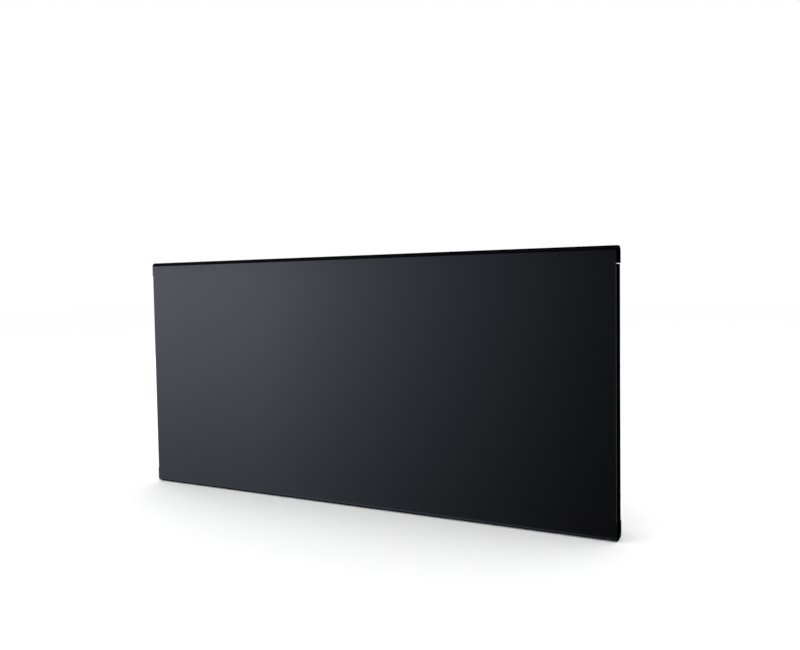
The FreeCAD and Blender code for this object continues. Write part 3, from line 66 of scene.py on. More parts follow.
# Folded front sheet
SHEET = 1.2
ROLL_FRONT_BEND = 6.0
ROLL_REAR_BEND = 8.0
LIP_DROP = 13.7
SIDE_BEND = 1.5
SIDE_FLANGE = 20.0
TOP_SLIT = 1.1
BOTTOM_SLIT = 1.8
BEND_STEPS = 16
SLIT_REACH = 8  # bend steps that the sheet goes on for between roll and flange
ROLL_POINTS = 4  # points across a roll: its two ends, and the ends of the face between them
CUT_EDGE = 0.25  # round that the paint leaves on a cut edge

# Broken edges of the other pieces
PAINTED_EDGE = 0.25
STRIP_EDGE = 0.3
MOULDED_EDGE = 0.4
SMALL_EDGE = 0.2
EDGE_STEPS = 2
MERGE = 0.002  # distance under which a node's loose corners are one
SHARP_ANGLE = 35.0  # degrees over which an edge is broken
CREASE_ANGLE = 60.0  # degrees over which what is left still shades as an edge

# Screws and rivets
SCREW_HEAD = 3.2  # radius
SCREW_HEIGHT = 2.0
SCREW_SHANK = 1.5  # radius
RECESS_SPAN = 3.6
RECESS_WIDTH = 0.8
RECESS_DEPTH = 1.1
RIVET_HEAD = 3.0  # radius
RIVET_HEIGHT = 1.0
RIVET_SHANK = 1.6  # radius
MANDREL = 0.9  # radius of the pit that it leaves
MANDREL_DEPTH = 0.5
HEAD_SIDES = 32
SHANK_SIDES = 16
TURN_SEED = 7

# Marks on keys and rocker, and the digits behind the window
MARK_RELIEF = 0.08
MARK_SPAN = 4.6
MARK_WIDTH = 0.8
RING_SIDES = 40
ROCKER_MARK = 2.8
DIGIT_HEIGHT = 11.0
DIGIT_WIDTH = 5.2
DIGIT_PITCH = 7.8
SEGMENT_WIDTH = 1.1
SEGMENT_GAP = 0.3
SEGMENT_RELIEF = 0.12
SHOWN_TEMPERATURE = "21"
SEGMENTS = {"1": "bc", "2": "abged"}
PROBE_FROM = 1000.0  # clear of the right end, where a ray starts that finds the face under a mark

# Camera, from the sheet's corners and slits in the photograph
CAMERA_AT = (588.3, -1055.5, 135.1)
CAMERA_YAW = 27.609  # degrees to the left of straight ahead
CAMERA_PITCH = 2.674  # degrees below level
CAMERA_ROLL = -0.900  # degrees
CAMERA_LENS = 34.72
CAMERA_SENSOR = 36.0

# Studio
FLOOR_DROP = 0.8  # floor close below the heater, for the soft shadow along its lower edge
FLOOR_SIZE = 24000.0
FLOOR_CELLS = 8
SOFT_STRENGTH = 1.05  # even light from all sides, for soft shadow
BACKDROP_STRENGTH = 1.0  # white behind the heater

# What reflections see, as places on a wall in front for one unit of distance to it
GLOW_COLOUR = "#e6eaff"
GLOW_STRENGTH = 2.3
GLOW_ACROSS = (-0.20, -0.78)  # where the glow begins and where it is full
GLOW_START = 0.24  # how far it has come where it begins
GLOW_SWELL = 1.82  # how slowly it grows from there
GLOW_TOP = (0.13, 0.07)  # heights between which it fades in from above
GLOW_ABOVE = 0.045  # share of it that is seen over them
GLOW_FALL = (-0.32, 0.02)  # heights between which it weakens downwards
GLOW_LEAST = 0.43  # share of it that is left under them
GLOW_FRONT = (0.05, 0.35)  # how far a direction points to the front where the glow comes in
RIM_STRENGTH = 1.0  # narrow light to the front right, which draws a line on the right bend
RIM_ACROSS = (0.5, 1.0)

# Fine grain and slow patches of a finish
PATCH_SHARE = 0.5  # of the patches in its tone
GRAIN_SPREAD = (0.35, 0.65)  # most of a noise lies between these

# Sockets that are counted, because their node repeats the names: of a mix, and of a random value
FACTOR = 0
NUMBER_A = 2
NUMBER_B = 3
MIXED_NUMBER = 0
COLOUR_A = 6
COLOUR_B = 7
MIXED_COLOUR = 2
LEAST_NUMBER = 2
MOST_NUMBER = 3
RANDOM_NUMBER = 1

BODY_OF = {node: body for body, nodes in frame["record"]["behaviour"]["bodies"].items() for node in nodes}
SLOT_OF = {part["node"]: part["material_slot"] for part in frame["record"]["subparts"]}


def linear(code):
    """Linear colour with alpha from an sRGB hex code."""
    levels = [int(code[i:i + 2], 16) / 255 for i in (1, 3, 5)]
    return tuple(c / 12.92 if c <= 0.04045 else ((c + 0.055) / 1.055) ** 2.4 for c in levels) + (1.0,)


def add(tree, kind, inputs=None, **settings):
    """Add a node: settings are its properties, inputs are values, or the sockets that feed it.

    An input goes by name, or by number where names repeat. A list feeds it from several sockets.
    """
    made = tree.nodes.new(kind)
    for name, value in settings.items():
        setattr(made, name, value)
    for name, value in (inputs or {}).items():
        if isinstance(value, (bpy.types.NodeSocket, list)):
            for source in value if isinstance(value, list) else [value]:
                tree.links.new(source, made.inputs[name])
        else:
            made.inputs[name].default_value = value
    return made


def per_mm(size):
    """Texture scale, in repeats per metre, of a pattern that is so many mm wide."""
    return 1 / (size * MM)


def finish(name, pattern, **fixed):
    """A material: pattern feeds what varies over the surface, fixed are the shader's other values."""
    material = bpy.data.materials.new(name)
    material.use_nodes = True
    tree = material.node_tree
    tree.nodes.clear()
    place = add(tree, "ShaderNodeTexCoord").outputs["Object"]
    values = {key.replace("_", " "): value for key, value in fixed.items()}
    skin = add(tree, "ShaderNodeBsdfPrincipled", {**pattern(tree, place), **values})
    add(tree, "ShaderNodeOutputMaterial", {"Surface": skin.outputs["BSDF"]})
    return material


def grain(dark, light, sheen, size, relief, patch=40.0, stretch=(1, 1, 1)):
    """Fine grain over slow patches: both tint colour and roughness, and the grain gives the relief.

    dark and light are hex colours, sheen is the lowest and highest roughness, and size, relief and
    patch are in mm. stretch draws the grain out along an axis.
    """
    def pattern(tree, place):
        drawn = add(tree, "ShaderNodeMapping", {"Vector": place, "Scale": stretch})
        fine = add(tree, "ShaderNodeTexNoise", {"Vector": drawn.outputs["Vector"], "Scale": per_mm(size)})
        slow = add(tree, "ShaderNodeTexNoise", {"Vector": place, "Scale": per_mm(patch), "Detail": 3.0})
        mixed = add(tree, "ShaderNodeMix",
                    {FACTOR: PATCH_SHARE, NUMBER_A: fine.outputs["Fac"], NUMBER_B: slow.outputs["Fac"]})
        level = mixed.outputs[MIXED_NUMBER]
        tint = add(tree, "ShaderNodeMix", {FACTOR: level, COLOUR_A: linear(dark), COLOUR_B: linear(light)},
                   data_type="RGBA")
        rough = add(tree, "ShaderNodeMapRange",
                    {"Value": level, "From Min": GRAIN_SPREAD[0], "From Max": GRAIN_SPREAD[1],
                     "To Min": sheen[0], "To Max": sheen[1]})
        bump = add(tree, "ShaderNodeBump", {"Height": fine.outputs["Fac"], "Distance": relief * MM})
        return {"Base Color": tint.outputs[MIXED_COLOUR], "Roughness": rough.outputs["Result"],
                "Normal": bump.outputs["Normal"]}
    return pattern


def satin_powder_coat():
    """Polyester powder, sprayed and baked to a satin: deep soft black, with a faint orange peel."""
    peel = grain("#030304", "#040406", sheen=(0.12, 0.14), size=2.4, relief=0.003, patch=90.0)
    return finish("satin_powder_coat", peel, IOR=1.5)


def matt_powder_coat():
    """Fine-textured polyester powder: an even charcoal black whose sandy grain breaks highlights up."""
    # The grit is really about 0.3 mm and is drawn coarser, so that it shows.
    grit = grain("#141416", "#1c1c1f", sheen=(0.5, 0.62), size=0.9, relief=0.03)
    return finish("matt_powder_coat", grit, IOR=1.5)


def galvanised_steel():
    """Hot-dipped strip: bluish grey zinc whose frosted spangles each have a tone and a sheen."""
    spangle_size = 7.0
    jag_size = 5.0  # along a spangle's ragged border
    jag_reach = 5.0
    frost_size = 1.2
    frost_relief = 0.01
    frost_share = 0.35  # in a spangle's tone
    sheen = (0.36, 0.48)

    def spangle(tree, place):
        jags = add(tree, "ShaderNodeTexNoise", {"Vector": place, "Scale": per_mm(jag_size), "Detail": 3.0})
        drawn = add(tree, "ShaderNodeVectorMath",
                    {0: jags.outputs["Color"], 1: (jag_reach * MM,) * 3, 2: place},
                    operation="MULTIPLY_ADD")
        cell = add(tree, "ShaderNodeTexVoronoi",
                   {"Vector": drawn.outputs["Vector"], "Scale": per_mm(spangle_size)})
        tone = add(tree, "ShaderNodeSeparateColor", {"Color": cell.outputs["Color"]})
        frost = add(tree, "ShaderNodeTexNoise",
                    {"Vector": place, "Scale": per_mm(frost_size), "Detail": 4.0})
        mixed = add(tree, "ShaderNodeMix",
                    {FACTOR: frost_share, NUMBER_A: tone.outputs["Red"], NUMBER_B: frost.outputs["Fac"]})
        level = mixed.outputs[MIXED_NUMBER]
        tint = add(tree, "ShaderNodeMix",
                   {FACTOR: level, COLOUR_A: linear("#999fa4"), COLOUR_B: linear("#b9bec2")},
                   data_type="RGBA")
        rough = add(tree, "ShaderNodeMapRange", {"Value": level, "To Min": sheen[0], "To Max": sheen[1]})
        bump = add(tree, "ShaderNodeBump", {"Height": frost.outputs["Fac"], "Distance": frost_relief * MM})
        return {"Base Color": tint.outputs[MIXED_COLOUR], "Roughness": rough.outputs["Result"],
                "Normal": bump.outputs["Normal"]}
    return finish("galvanised_steel", spangle, Metallic=1.0)


def zinc_plate():
    """Bright zinc plate on turned steel: cool and fairly glossy, with fine tool marks."""
    # The marks are really about 0.1 mm and are drawn coarser, so that they show.
    marks = grain("#a9adb1", "#c6c9cc", sheen=(0.22, 0.36), size=0.4, relief=0.004, patch=6.0)
    return finish("zinc_plate", marks, Metallic=1.0)


def extruded_aluminium():
    """Mill-finish extrusion: pale grey metal with die lines along its length."""
    die_lines = grain("#b4b7ba", "#cfd1d3", sheen=(0.28, 0.44), size=0.8, relief=0.01, patch=30.0,
                      stretch=(0.02, 1, 1))
    return finish("extruded_aluminium", die_lines, Metallic=1.0)


def stained_steel():
    """Stainless sheath that has been hot: straw and brown stains over a dull drawn tube."""
    stains = grain("#6d6055", "#948a7d", sheen=(0.34, 0.5), size=1.5, relief=0.006, patch=25.0,
                   stretch=(0.1, 1, 1))
    return finish("stained_steel", stains, Metallic=1.0)


def glazed_ceramic():
    """Steatite with a thin glaze: warm white, smooth and hard."""
    glaze = grain("#e2dccd", "#efeade", sheen=(0.14, 0.24), size=1.5, relief=0.01, patch=8.0)
    return finish("glazed_ceramic", glaze, IOR=1.6)


def turned_brass():
    """Turned brass that has begun to dull: yellow metal, a little blotched, with fine tool marks."""
    # The marks are really about 0.1 mm and are drawn coarser, so that they show.
    marks = grain("#a98743", "#cdb067", sheen=(0.24, 0.38), size=0.5, relief=0.005, patch=5.0)
    return finish("turned_brass", marks, Metallic=1.0)


def moulded_abs(name, dark, light):
    """ABS from a spark-eroded mould: an even colour under a fine grain that makes it softly matt."""
    # The grain is really about 0.2 mm and is drawn coarser, so that it shows.
    sparked = grain(dark, light, sheen=(0.42, 0.54), size=0.6, relief=0.012, patch=20.0)
    return finish(name, sparked, IOR=1.53)


def natural_nylon():
    """Natural polyamide: milky off-white with a waxy sheen."""
    wax = grain("#d9d4c4", "#e6e2d5", sheen=(0.38, 0.5), size=1.2, relief=0.01, patch=12.0)
    return finish("natural_nylon", wax, IOR=1.53)


def smoked_acrylic():
    """Polished tinted acrylic: nearly black, clear enough for lit digits to show through."""
    smoke = grain("#55555c", "#5c5c63", sheen=(0.02, 0.05), size=3.0, relief=0.0005, patch=15.0)
    return finish("smoked_acrylic", smoke, IOR=1.49, Transmission_Weight=1.0)


def gloss_abs():
    """ABS from a polished mould: black with sharp highlights, a little dulled in spots by handling."""
    polish = grain("#0b0b0c", "#111113", sheen=(0.1, 0.2), size=1.0, relief=0.002, patch=8.0)
    return finish("gloss_abs", polish, IOR=1.53)


def solder_mask():
    """Green solder mask on glass-fibre board: the fibres show as a faint mottle under a thin lacquer."""
    mottle = grain("#123f26", "#1f5e3a", sheen=(0.22, 0.34), size=0.8, relief=0.01, patch=10.0)
    return finish("solder_mask", mottle, IOR=1.55)


def relay_polyester():
    """Glass-filled polyester case: blue, slightly cloudy and softly glossy."""
    cloud = grain("#1d3f78", "#26508f", sheen=(0.32, 0.46), size=1.0, relief=0.01, patch=6.0)
    return finish("relay_polyester", cloud, IOR=1.57)


def tinned_steel():
    """Tinned sheet: warm silver with soft rolling marks."""
    rolled = grain("#b3b2ad", "#cbcac5", sheen=(0.22, 0.36), size=0.6, relief=0.005, patch=6.0,
                   stretch=(1, 1, 0.1))
    return finish("tinned_steel", rolled, Metallic=1.0)


def silicone_sleeve(name, dark, light):
    """Extruded silicone insulation: saturated, soft and slightly dusty."""
    dust = grain(dark, light, sheen=(0.46, 0.6), size=1.2, relief=0.01, patch=10.0)
    return finish(name, dust, IOR=1.43)


def gland_nylon():
    """Black glass-filled nylon: dark grey with a faint texture of its fibres."""
    fibres = grain("#161617", "#202022", sheen=(0.44, 0.58), size=0.7, relief=0.02, patch=10.0)
    return finish("gland_nylon", fibres, IOR=1.53)


def pad_ink():
    """Pad-printed ink: off-white, thin and a little uneven."""
    film = grain("#c9c9c6", "#dededb", sheen=(0.4, 0.5), size=0.5, relief=0.003, patch=3.0)
    return finish("pad_ink", film, IOR=1.5)


def lit_segment():
    """Light-emitting segment under a diffuser: cool white, slightly cloudy."""
    cloud_size = 1.5

    def glow(tree, place):
        cloud = add(tree, "ShaderNodeTexNoise", {"Vector": place, "Scale": per_mm(cloud_size)})
        tint = add(tree, "ShaderNodeMix",
                   {FACTOR: cloud.outputs["Fac"], COLOUR_A: linear("#dfeaf5"), COLOUR_B: linear("#ffffff")},
                   data_type="RGBA")
        return {"Base Color": tint.outputs[MIXED_COLOUR], "Emission Color": tint.outputs[MIXED_COLOUR]}
    return finish("lit_segment", glow, Roughness=0.4, Emission_Strength=5.0)


def studio_floor():
    """Painted studio floor: clean pale white with the faintest roller texture."""
    roller = grain("#f6f6f6", "#fafafa", sheen=(0.7, 0.8), size=12.0, relief=0.02, patch=400.0)
    return finish("studio_floor", roller, Specular_IOR_Level=0.0)


def make_finishes():
    """Finish of each material slot, and of what the slots don't name."""
    return {
        "panel_paint": satin_powder_coat(),
        "casing_paint": matt_powder_coat(),
        "galvanised": galvanised_steel(),
        "zinc_fastener": zinc_plate(),
        "aluminium": extruded_aluminium(),
        "rod_steel": stained_steel(),
        "ceramic": glazed_ceramic(),
        "brass": turned_brass(),
        "black_plastic": moulded_abs("black_abs", "#111112", "#19191b"),
        "grey_plastic": moulded_abs("grey_abs", "#5d6064", "#6b6e72"),
        "white_plastic": natural_nylon(),
        "smoked_window": smoked_acrylic(),
        "rocker_plastic": gloss_abs(),
        "circuit_board": solder_mask(),
        "relay_case": relay_polyester(),
        "module_can": tinned_steel(),
        "lead_brown": silicone_sleeve("brown_sleeve", "#4a2c1a", "#5b3823"),
        "lead_blue": silicone_sleeve("blue_sleeve", "#1c3f8f", "#2851a6"),
        "lead_red": silicone_sleeve("red_sleeve", "#7d1f1c", "#932a26"),
        "lead_earth": silicone_sleeve("green_yellow_sleeve", "#2f7d32", "#c9c431"),
        "lead_black": silicone_sleeve("black_sleeve", "#151516", "#1f1f21"),
        "gland_plastic": gland_nylon(),
        "ink": pad_ink(),
        "segment": lit_segment(),
    }


FINISH = make_finishes()


def new_piece(name, made):
    """An object at the origin from a bmesh, whose normals already point outwards."""
    mesh = bpy.data.meshes.new(name)
    made.to_mesh(mesh)
    made.free()
    piece = bpy.data.objects.new(name, mesh)
    bpy.context.scene.collection.objects.link(piece)
    return piece


def modify(piece, kind, **settings):
    """Add a modifier with its settings."""
    modifier = piece.modifiers.new(kind.lower(), kind)
    for name, value in settings.items():
        setattr(modifier, name, value)


def make_plain(piece):
    """Turn a piece's modifiers into plain mesh."""
    graph = bpy.context.evaluated_depsgraph_get()
    mesh = bpy.data.meshes.new_from_object(piece.evaluated_get(graph))
    rough, name = piece.data, piece.data.name
    piece.modifiers.clear()
    piece.data = mesh
    bpy.data.meshes.remove(rough)
    mesh.name = name


def dress(piece, surface, body):
    """Give a piece its finish and its body."""
    piece.data.materials.clear()
    piece.data.materials.append(surface)
    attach(piece, body)


def stand_for(piece, node):
    """Let a piece stand for a node, with the node's body and finish."""
    dress(piece, FINISH[SLOT_OF[node]], BODY_OF[node])
    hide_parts(node)


def merged(node):
    """A bmesh of a node's own shape, with its loose triangles joined."""
    made = bmesh.new()
    made.from_mesh(frame["nodes"][node].data)
    bmesh.ops.remove_doubles(made, verts=made.verts, dist=MERGE * MM)
    return made


def corners(node):
    """Lowest and highest corner of a node, in mm."""
    low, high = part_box(node)
    return low / MM, high / MM


def arc(centre, radius, start, stop):
    """Points round an arc from one angle to another, in degrees."""
    turns = [math.radians(start + (stop - start) * i / BEND_STEPS) for i in range(BEND_STEPS + 1)]
    return [(centre[0] + radius * math.cos(t), centre[1] + radius * math.sin(t)) for t in turns]


def pairs(row):
    """Each point of a row with the next."""
    return [row[i:i + 2] for i in range(len(row) - 1)]


def past_slit(row):
    """Stretches of a row that go on between the slits: the face, and at its ends the start of each bend."""
    middle = len(row) // 2
    reach = 1 if len(row) == ROLL_POINTS else SLIT_REACH
    ends = (middle - 1 - reach, middle - 1, middle, middle + reach)
    return [row[first:last + 1] for first, last in zip(ends, ends[1:])]


def front_sheet():
    """The folded front: rolled at top and bottom, flanged at the sides, with a slit at each corner."""
    low, high = corners("front_panel")
    lip = high.z - ROLL_REAR_BEND - LIP_DROP
    roll = [(high.y, lip)]
    roll += arc((high.y - ROLL_REAR_BEND, high.z - ROLL_REAR_BEND), ROLL_REAR_BEND, 0, 90)
    roll += arc((low.y + ROLL_FRONT_BEND, high.z - ROLL_FRONT_BEND), ROLL_FRONT_BEND, 90, 180)
    roll += [(low.y, lip)]
    side = [(high.x, low.y + SIDE_BEND + SIDE_FLANGE)]
    side += arc((high.x - SIDE_BEND, low.y + SIDE_BEND), SIDE_BEND, 0, -90)
    width = (-high.x, SIDE_BEND - high.x, high.x - SIDE_BEND, high.x)

    def straight_row(y, z):
        return [(x, y, z) for x in width]

    def flanged_row(z):
        return [(-x, y, z) for x, y in side] + [(x, y, z) for x, y in reversed(side)]

    rows = [straight_row(y, z) for y, z in roll]
    rows += [flanged_row(lip - TOP_SLIT), flanged_row(BOTTOM_SLIT - lip)]
    rows += [straight_row(y, -z) for y, z in reversed(roll)]
    made = bmesh.new()
    rows = [[made.verts.new(Vector(point) * MM) for point in row] for row in rows]
    for upper, lower in zip(rows, rows[1:]):
        stretches = pairs if len(upper) == len(lower) else past_slit
        for above, below in zip(stretches(upper), stretches(lower)):
            made.faces.new(below + above[::-1])
    piece = new_piece("front_sheet", made)
    piece.data.shade_smooth()
    modify(piece, "SOLIDIFY", thickness=SHEET * MM, offset=-1.0, use_even_offset=True)
    modify(piece, "BEVEL", width=CUT_EDGE * MM, segments=EDGE_STEPS, angle_limit=math.radians(SHARP_ANGLE))
    modify(piece, "WEIGHTED_NORMAL", keep_sharp=True)
    make_plain(piece)
    stand_for(piece, "front_panel")


def eased(node, edge):
    """A node's own shape with its sharp edges broken, so that they catch the light."""
    piece = new_piece(node + "_eased", merged(node))
    modify(piece, "BEVEL", width=edge * MM, segments=EDGE_STEPS, angle_limit=math.radians(SHARP_ANGLE),
           use_clamp_overlap=False, loop_slide=False)
    make_plain(piece)
    piece.data.shade_smooth()
    piece.data.set_sharp_from_angle(angle=math.radians(CREASE_ANGLE))
    modify(piece, "WEIGHTED_NORMAL", keep_sharp=True)
    make_plain(piece)
    stand_for(piece, node)


def islands(made):
    """Groups of joined vertices."""
    left = set(made.verts)
    while left:
        group = set()
        edge = {left.pop()}
        while edge:
            group |= edge
            edge = {e.other_vert(v) for v in edge for e in v.link_edges} - group
        left -= group
        yield group


def fastener_places(node, height, ends):
    """Seat, facing and grip of each fastener in a node, by its shape. Heads face out of the casing."""
    made = merged(node)
    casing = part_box("top_grille")
    places = []
    for group in islands(made):
        low = Vector(min(v.co[i] for v in group) for i in range(3))
        high = Vector(max(v.co[i] for v in group) for i in range(3))
        middle = (low + high) / 2
        facing = math.copysign(1.0, middle.y - (casing[0].y + casing[1].y) / 2)
        outside = high.y if facing > 0 else low.y
        seat = Vector((middle.x, outside - facing * height * MM, middle.z))
        places.append((seat, (0, facing, 0), high.y - low.y - ends * height * MM))
    made.free()
    return sorted(places, key=lambda place: tuple(place[0]))


def cut_reach(tree, given):
    """Height of a cutting tool that is centred on the top of a head: twice the depth of its cut."""
    double = add(tree, "ShaderNodeMath", {0: given["Cut depth"], 1: 2.0}, operation="MULTIPLY")
    return double.outputs["Value"]


def on_top(tree, given, tool):
    """A cutting tool's mesh, lifted to the top of a head."""
    top = add(tree, "ShaderNodeCombineXYZ", {"Z": given["Head height"]})
    raised = add(tree, "GeometryNodeTransform",
                 {"Geometry": tool.outputs["Mesh"], "Translation": top.outputs["Vector"]})
    return raised.outputs["Geometry"]


def cross_recess(tree, given):
    """Two crossed bars that cut a screw's recess."""
    reach = cut_reach(tree, given)
    bars = []
    for span, width in (("Cut span", "Cut width"), ("Cut width", "Cut span")):
        size = add(tree, "ShaderNodeCombineXYZ", {"X": given[span], "Y": given[width], "Z": reach})
        bar = add(tree, "GeometryNodeMeshCube", {"Size": size.outputs["Vector"]})
        bars.append(on_top(tree, given, bar))
    return bars


def mandrel_pit(tree, given):
    """Round tool that cuts the pit where a blind rivet's mandrel snapped off."""
    plug = add(tree, "GeometryNodeMeshCylinder",
               {"Vertices": SHANK_SIDES, "Radius": given["Cut width"], "Depth": cut_reach(tree, given)})
    return [on_top(tree, given, plug)]


def fastener_sockets(tree, sizes):
    """Make the sockets of a fastener tree, and return those that it is given."""
    titles = {"Places": "NodeSocketGeometry"}
    titles.update(dict.fromkeys(sizes, "NodeSocketFloat"))
    titles["Finish"] = "NodeSocketMaterial"
    for title, kind in titles.items():
        tree.interface.new_socket(title, in_out="INPUT", socket_type=kind)
    tree.interface.new_socket("Fasteners", in_out="OUTPUT", socket_type="NodeSocketGeometry")
    return add(tree, "NodeGroupInput").outputs


def chance_turn(tree, facing):
    """Rotation that aims a fastener, turned about its own axis by chance."""
    aim = add(tree, "FunctionNodeAlignRotationToVector", {"Vector": facing}, axis="Z")
    turn = add(tree, "FunctionNodeRandomValue",
               {LEAST_NUMBER: 0.0, MOST_NUMBER: math.pi, "Seed": TURN_SEED}, data_type="FLOAT")
    spin = add(tree, "FunctionNodeAxisAngleToRotation",
               {"Axis": (0, 0, 1), "Angle": turn.outputs[RANDOM_NUMBER]})
    turned = add(tree, "FunctionNodeRotateRotation",
                 {"Rotation": aim.outputs["Rotation"], "Rotate By": spin.outputs["Rotation"]},
                 rotation_space="LOCAL")
    return turned.outputs["Rotation"]


def dome_and_block(tree, given):
    """A ball as wide and high as a head's dome, and the block that takes its lower half away."""
    girth = add(tree, "ShaderNodeCombineXYZ",
                {"X": given["Head radius"], "Y": given["Head radius"], "Z": given["Head height"]})
    ball = add(tree, "GeometryNodeMeshUVSphere",
               {"Segments": HEAD_SIDES, "Rings": HEAD_SIDES // 2, "Radius": 1.0})
    # The block's size is in radii and heights of the head, and reaches past the ball.
    block = add(tree, "GeometryNodeMeshCube", {"Size": (4.0, 4.0, 2.0)})
    under = add(tree, "GeometryNodeTransform",
                {"Geometry": block.outputs["Mesh"], "Translation": (0, 0, -1)})
    shapes = []
    for shape in (ball.outputs["Mesh"], under.outputs["Geometry"]):
        sized = add(tree, "GeometryNodeTransform", {"Geometry": shape, "Scale": girth.outputs["Vector"]})
        shapes.append(sized.outputs["Geometry"])
    return shapes


def blind_heads(tree, given, facing, grip, dome, block):
    """Plain heads at the far ends of the shanks, turned the other way."""
    turned = add(tree, "ShaderNodeVectorMath", {0: facing, "Scale": -1.0}, operation="SCALE")
    back = turned.outputs["Vector"]
    shift = add(tree, "ShaderNodeVectorMath", {0: back, "Scale": grip}, operation="SCALE")
    ends = add(tree, "GeometryNodeSetPosition",
               {"Geometry": given["Places"], "Offset": shift.outputs["Vector"]})
    aim = add(tree, "FunctionNodeAlignRotationToVector", {"Vector": back}, axis="Z")
    head = add(tree, "GeometryNodeMeshBoolean", {"Mesh 1": dome, "Mesh 2": block},
               solver="EXACT", operation="DIFFERENCE")
    heads = add(tree, "GeometryNodeInstanceOnPoints",
                {"Points": ends.outputs["Geometry"], "Instance": head.outputs["Mesh"],
                 "Rotation": aim.outputs["Rotation"]})
    return heads.outputs["Instances"]


def fastener_tree(name, sizes, cut, ends):
    """Nodes that set a shank with a domed and cut head at each place, and a plain head at a second end."""
    tree = bpy.data.node_groups.new(name, "GeometryNodeTree")
    given = fastener_sockets(tree, sizes)
    read = "GeometryNodeInputNamedAttribute"
    facing = add(tree, read, {"Name": "facing"}, data_type="FLOAT_VECTOR").outputs["Attribute"]
    grip = add(tree, read, {"Name": "grip"}, data_type="FLOAT").outputs["Attribute"]
    turned = chance_turn(tree, facing)
    dome, block = dome_and_block(tree, given)
    head = add(tree, "GeometryNodeMeshBoolean",
               {"Mesh 1": dome, "Mesh 2": [block, *cut(tree, given)], "Self Intersection": True},
               solver="EXACT", operation="DIFFERENCE")
    rod = add(tree, "GeometryNodeMeshCylinder",
              {"Vertices": SHANK_SIDES, "Radius": given["Shank radius"], "Depth": 1.0})
    shank = add(tree, "GeometryNodeTransform",
                {"Geometry": rod.outputs["Mesh"], "Translation": (0, 0, -0.5)})
    length = add(tree, "ShaderNodeCombineXYZ", {"X": 1.0, "Y": 1.0, "Z": grip})
    heads = add(tree, "GeometryNodeInstanceOnPoints",
                {"Points": given["Places"], "Instance": head.outputs["Mesh"], "Rotation": turned})
    shanks = add(tree, "GeometryNodeInstanceOnPoints",
                 {"Points": given["Places"], "Instance": shank.outputs["Geometry"], "Rotation": turned,
                  "Scale": length.outputs["Vector"]})
    pieces = [heads.outputs["Instances"], shanks.outputs["Instances"]]
    if ends == 2:
        pieces.append(blind_heads(tree, given, facing, grip, dome, block))
    whole = add(tree, "GeometryNodeJoinGeometry", {"Geometry": pieces})
    real = add(tree, "GeometryNodeRealizeInstances", {"Geometry": whole.outputs["Geometry"]})
    done = add(tree, "GeometryNodeSetMaterial",
               {"Geometry": real.outputs["Geometry"], "Material": given["Finish"]})
    add(tree, "NodeGroupOutput", {"Fasteners": done.outputs["Geometry"]})
    return tree


def fasteners(node, piece_name, sizes, cut, ends):
    """Screws or rivets with real heads, at one end or at two, in place of a node's plain ones."""
    places = fastener_places(node, sizes["Head height"], ends)
    made = bmesh.new()
    for seat, _, _ in places:
        made.verts.new(seat)
    piece = new_piece(piece_name, made)
    facing = piece.data.attributes.new("facing", "FLOAT_VECTOR", "POINT")
    facing.data.foreach_set("vector", [number for _, way, _ in places for number in way])
    grip = piece.data.attributes.new("grip", "FLOAT", "POINT")
    grip.data.foreach_set("value", [length for _, _, length in places])
    tree = fastener_tree(piece_name, sizes, cut, ends)
    modifier = piece.modifiers.new(piece_name, "NODES")
    modifier.node_group = tree
    values = {title: size * MM for title, size in sizes.items()}
    values["Finish"] = FINISH[SLOT_OF[node]]
    for socket in tree.interface.items_tree:
        if socket.name in values:
            modifier[socket.identifier] = values[socket.name]
    make_plain(piece)
    piece.data.shade_smooth()
    piece.data.set_sharp_from_angle(angle=math.radians(SHARP_ANGLE))
    stand_for(piece, node)


def stroke(made, points, width, relief, place, closed=False):
    """A raised line of even width along flat points, set on a surface by a matrix."""
    count = len(points)
    rings = []
    for i, (x, y) in enumerate(points):
        before = points[i - 1 if closed or i else i]
        after = points[(i + 1) % count if closed or i + 1 < count else i]
        along = Vector((after[0] - before[0], after[1] - before[1], 0)).normalized()
        across = Vector((along.y, -along.x, 0)) * width / 2
        here = Vector((x, y, 0))
        up = Vector((0, 0, relief))
        section = (here - across, here + across, here + across + up, here - across + up)
        rings.append([made.verts.new(place @ (corner * MM)) for corner in section])
    for a, b in zip(rings, rings[1:] + (rings[:1] if closed else [])):
        sides = len(a)
        for i in range(sides):
            made.faces.new((a[i], a[(i + 1) % sides], b[(i + 1) % sides], b[i]))
    if not closed:
        made.faces.new(rings[0][::-1])
        made.faces.new(rings[-1])


def laid_on(node, y, z):
    """Matrix that lays a flat drawing on a node's face towards +X, upright from there. Place in mm."""
    made = merged(node)
    faces = BVHTree.FromBMesh(made)
    made.free()
    start = Vector((PROBE_FROM * MM, y * MM, z * MM))
    spot, outward = faces.ray_cast(start, Vector((-1, 0, 0)))[:2]
    along = Vector((0, 1, 0))
    turn = Matrix((along, outward.cross(along), outward)).transposed().to_4x4()
    return Matrix.Translation(spot) @ turn


def circle(radius):
    """Points round a circle."""
    turns = [math.tau * i / RING_SIDES for i in range(RING_SIDES)]
    return [(radius * math.cos(t), radius * math.sin(t)) for t in turns]


def mark(name, body, surface, lines):
    """Printed or lit lines as one piece. Each line is points, width, relief, place and closed."""
    made = bmesh.new()
    for line in lines:
        stroke(made, *line)
    bmesh.ops.recalc_face_normals(made, faces=made.faces)
    dress(new_piece(name, made), FINISH[surface], body)


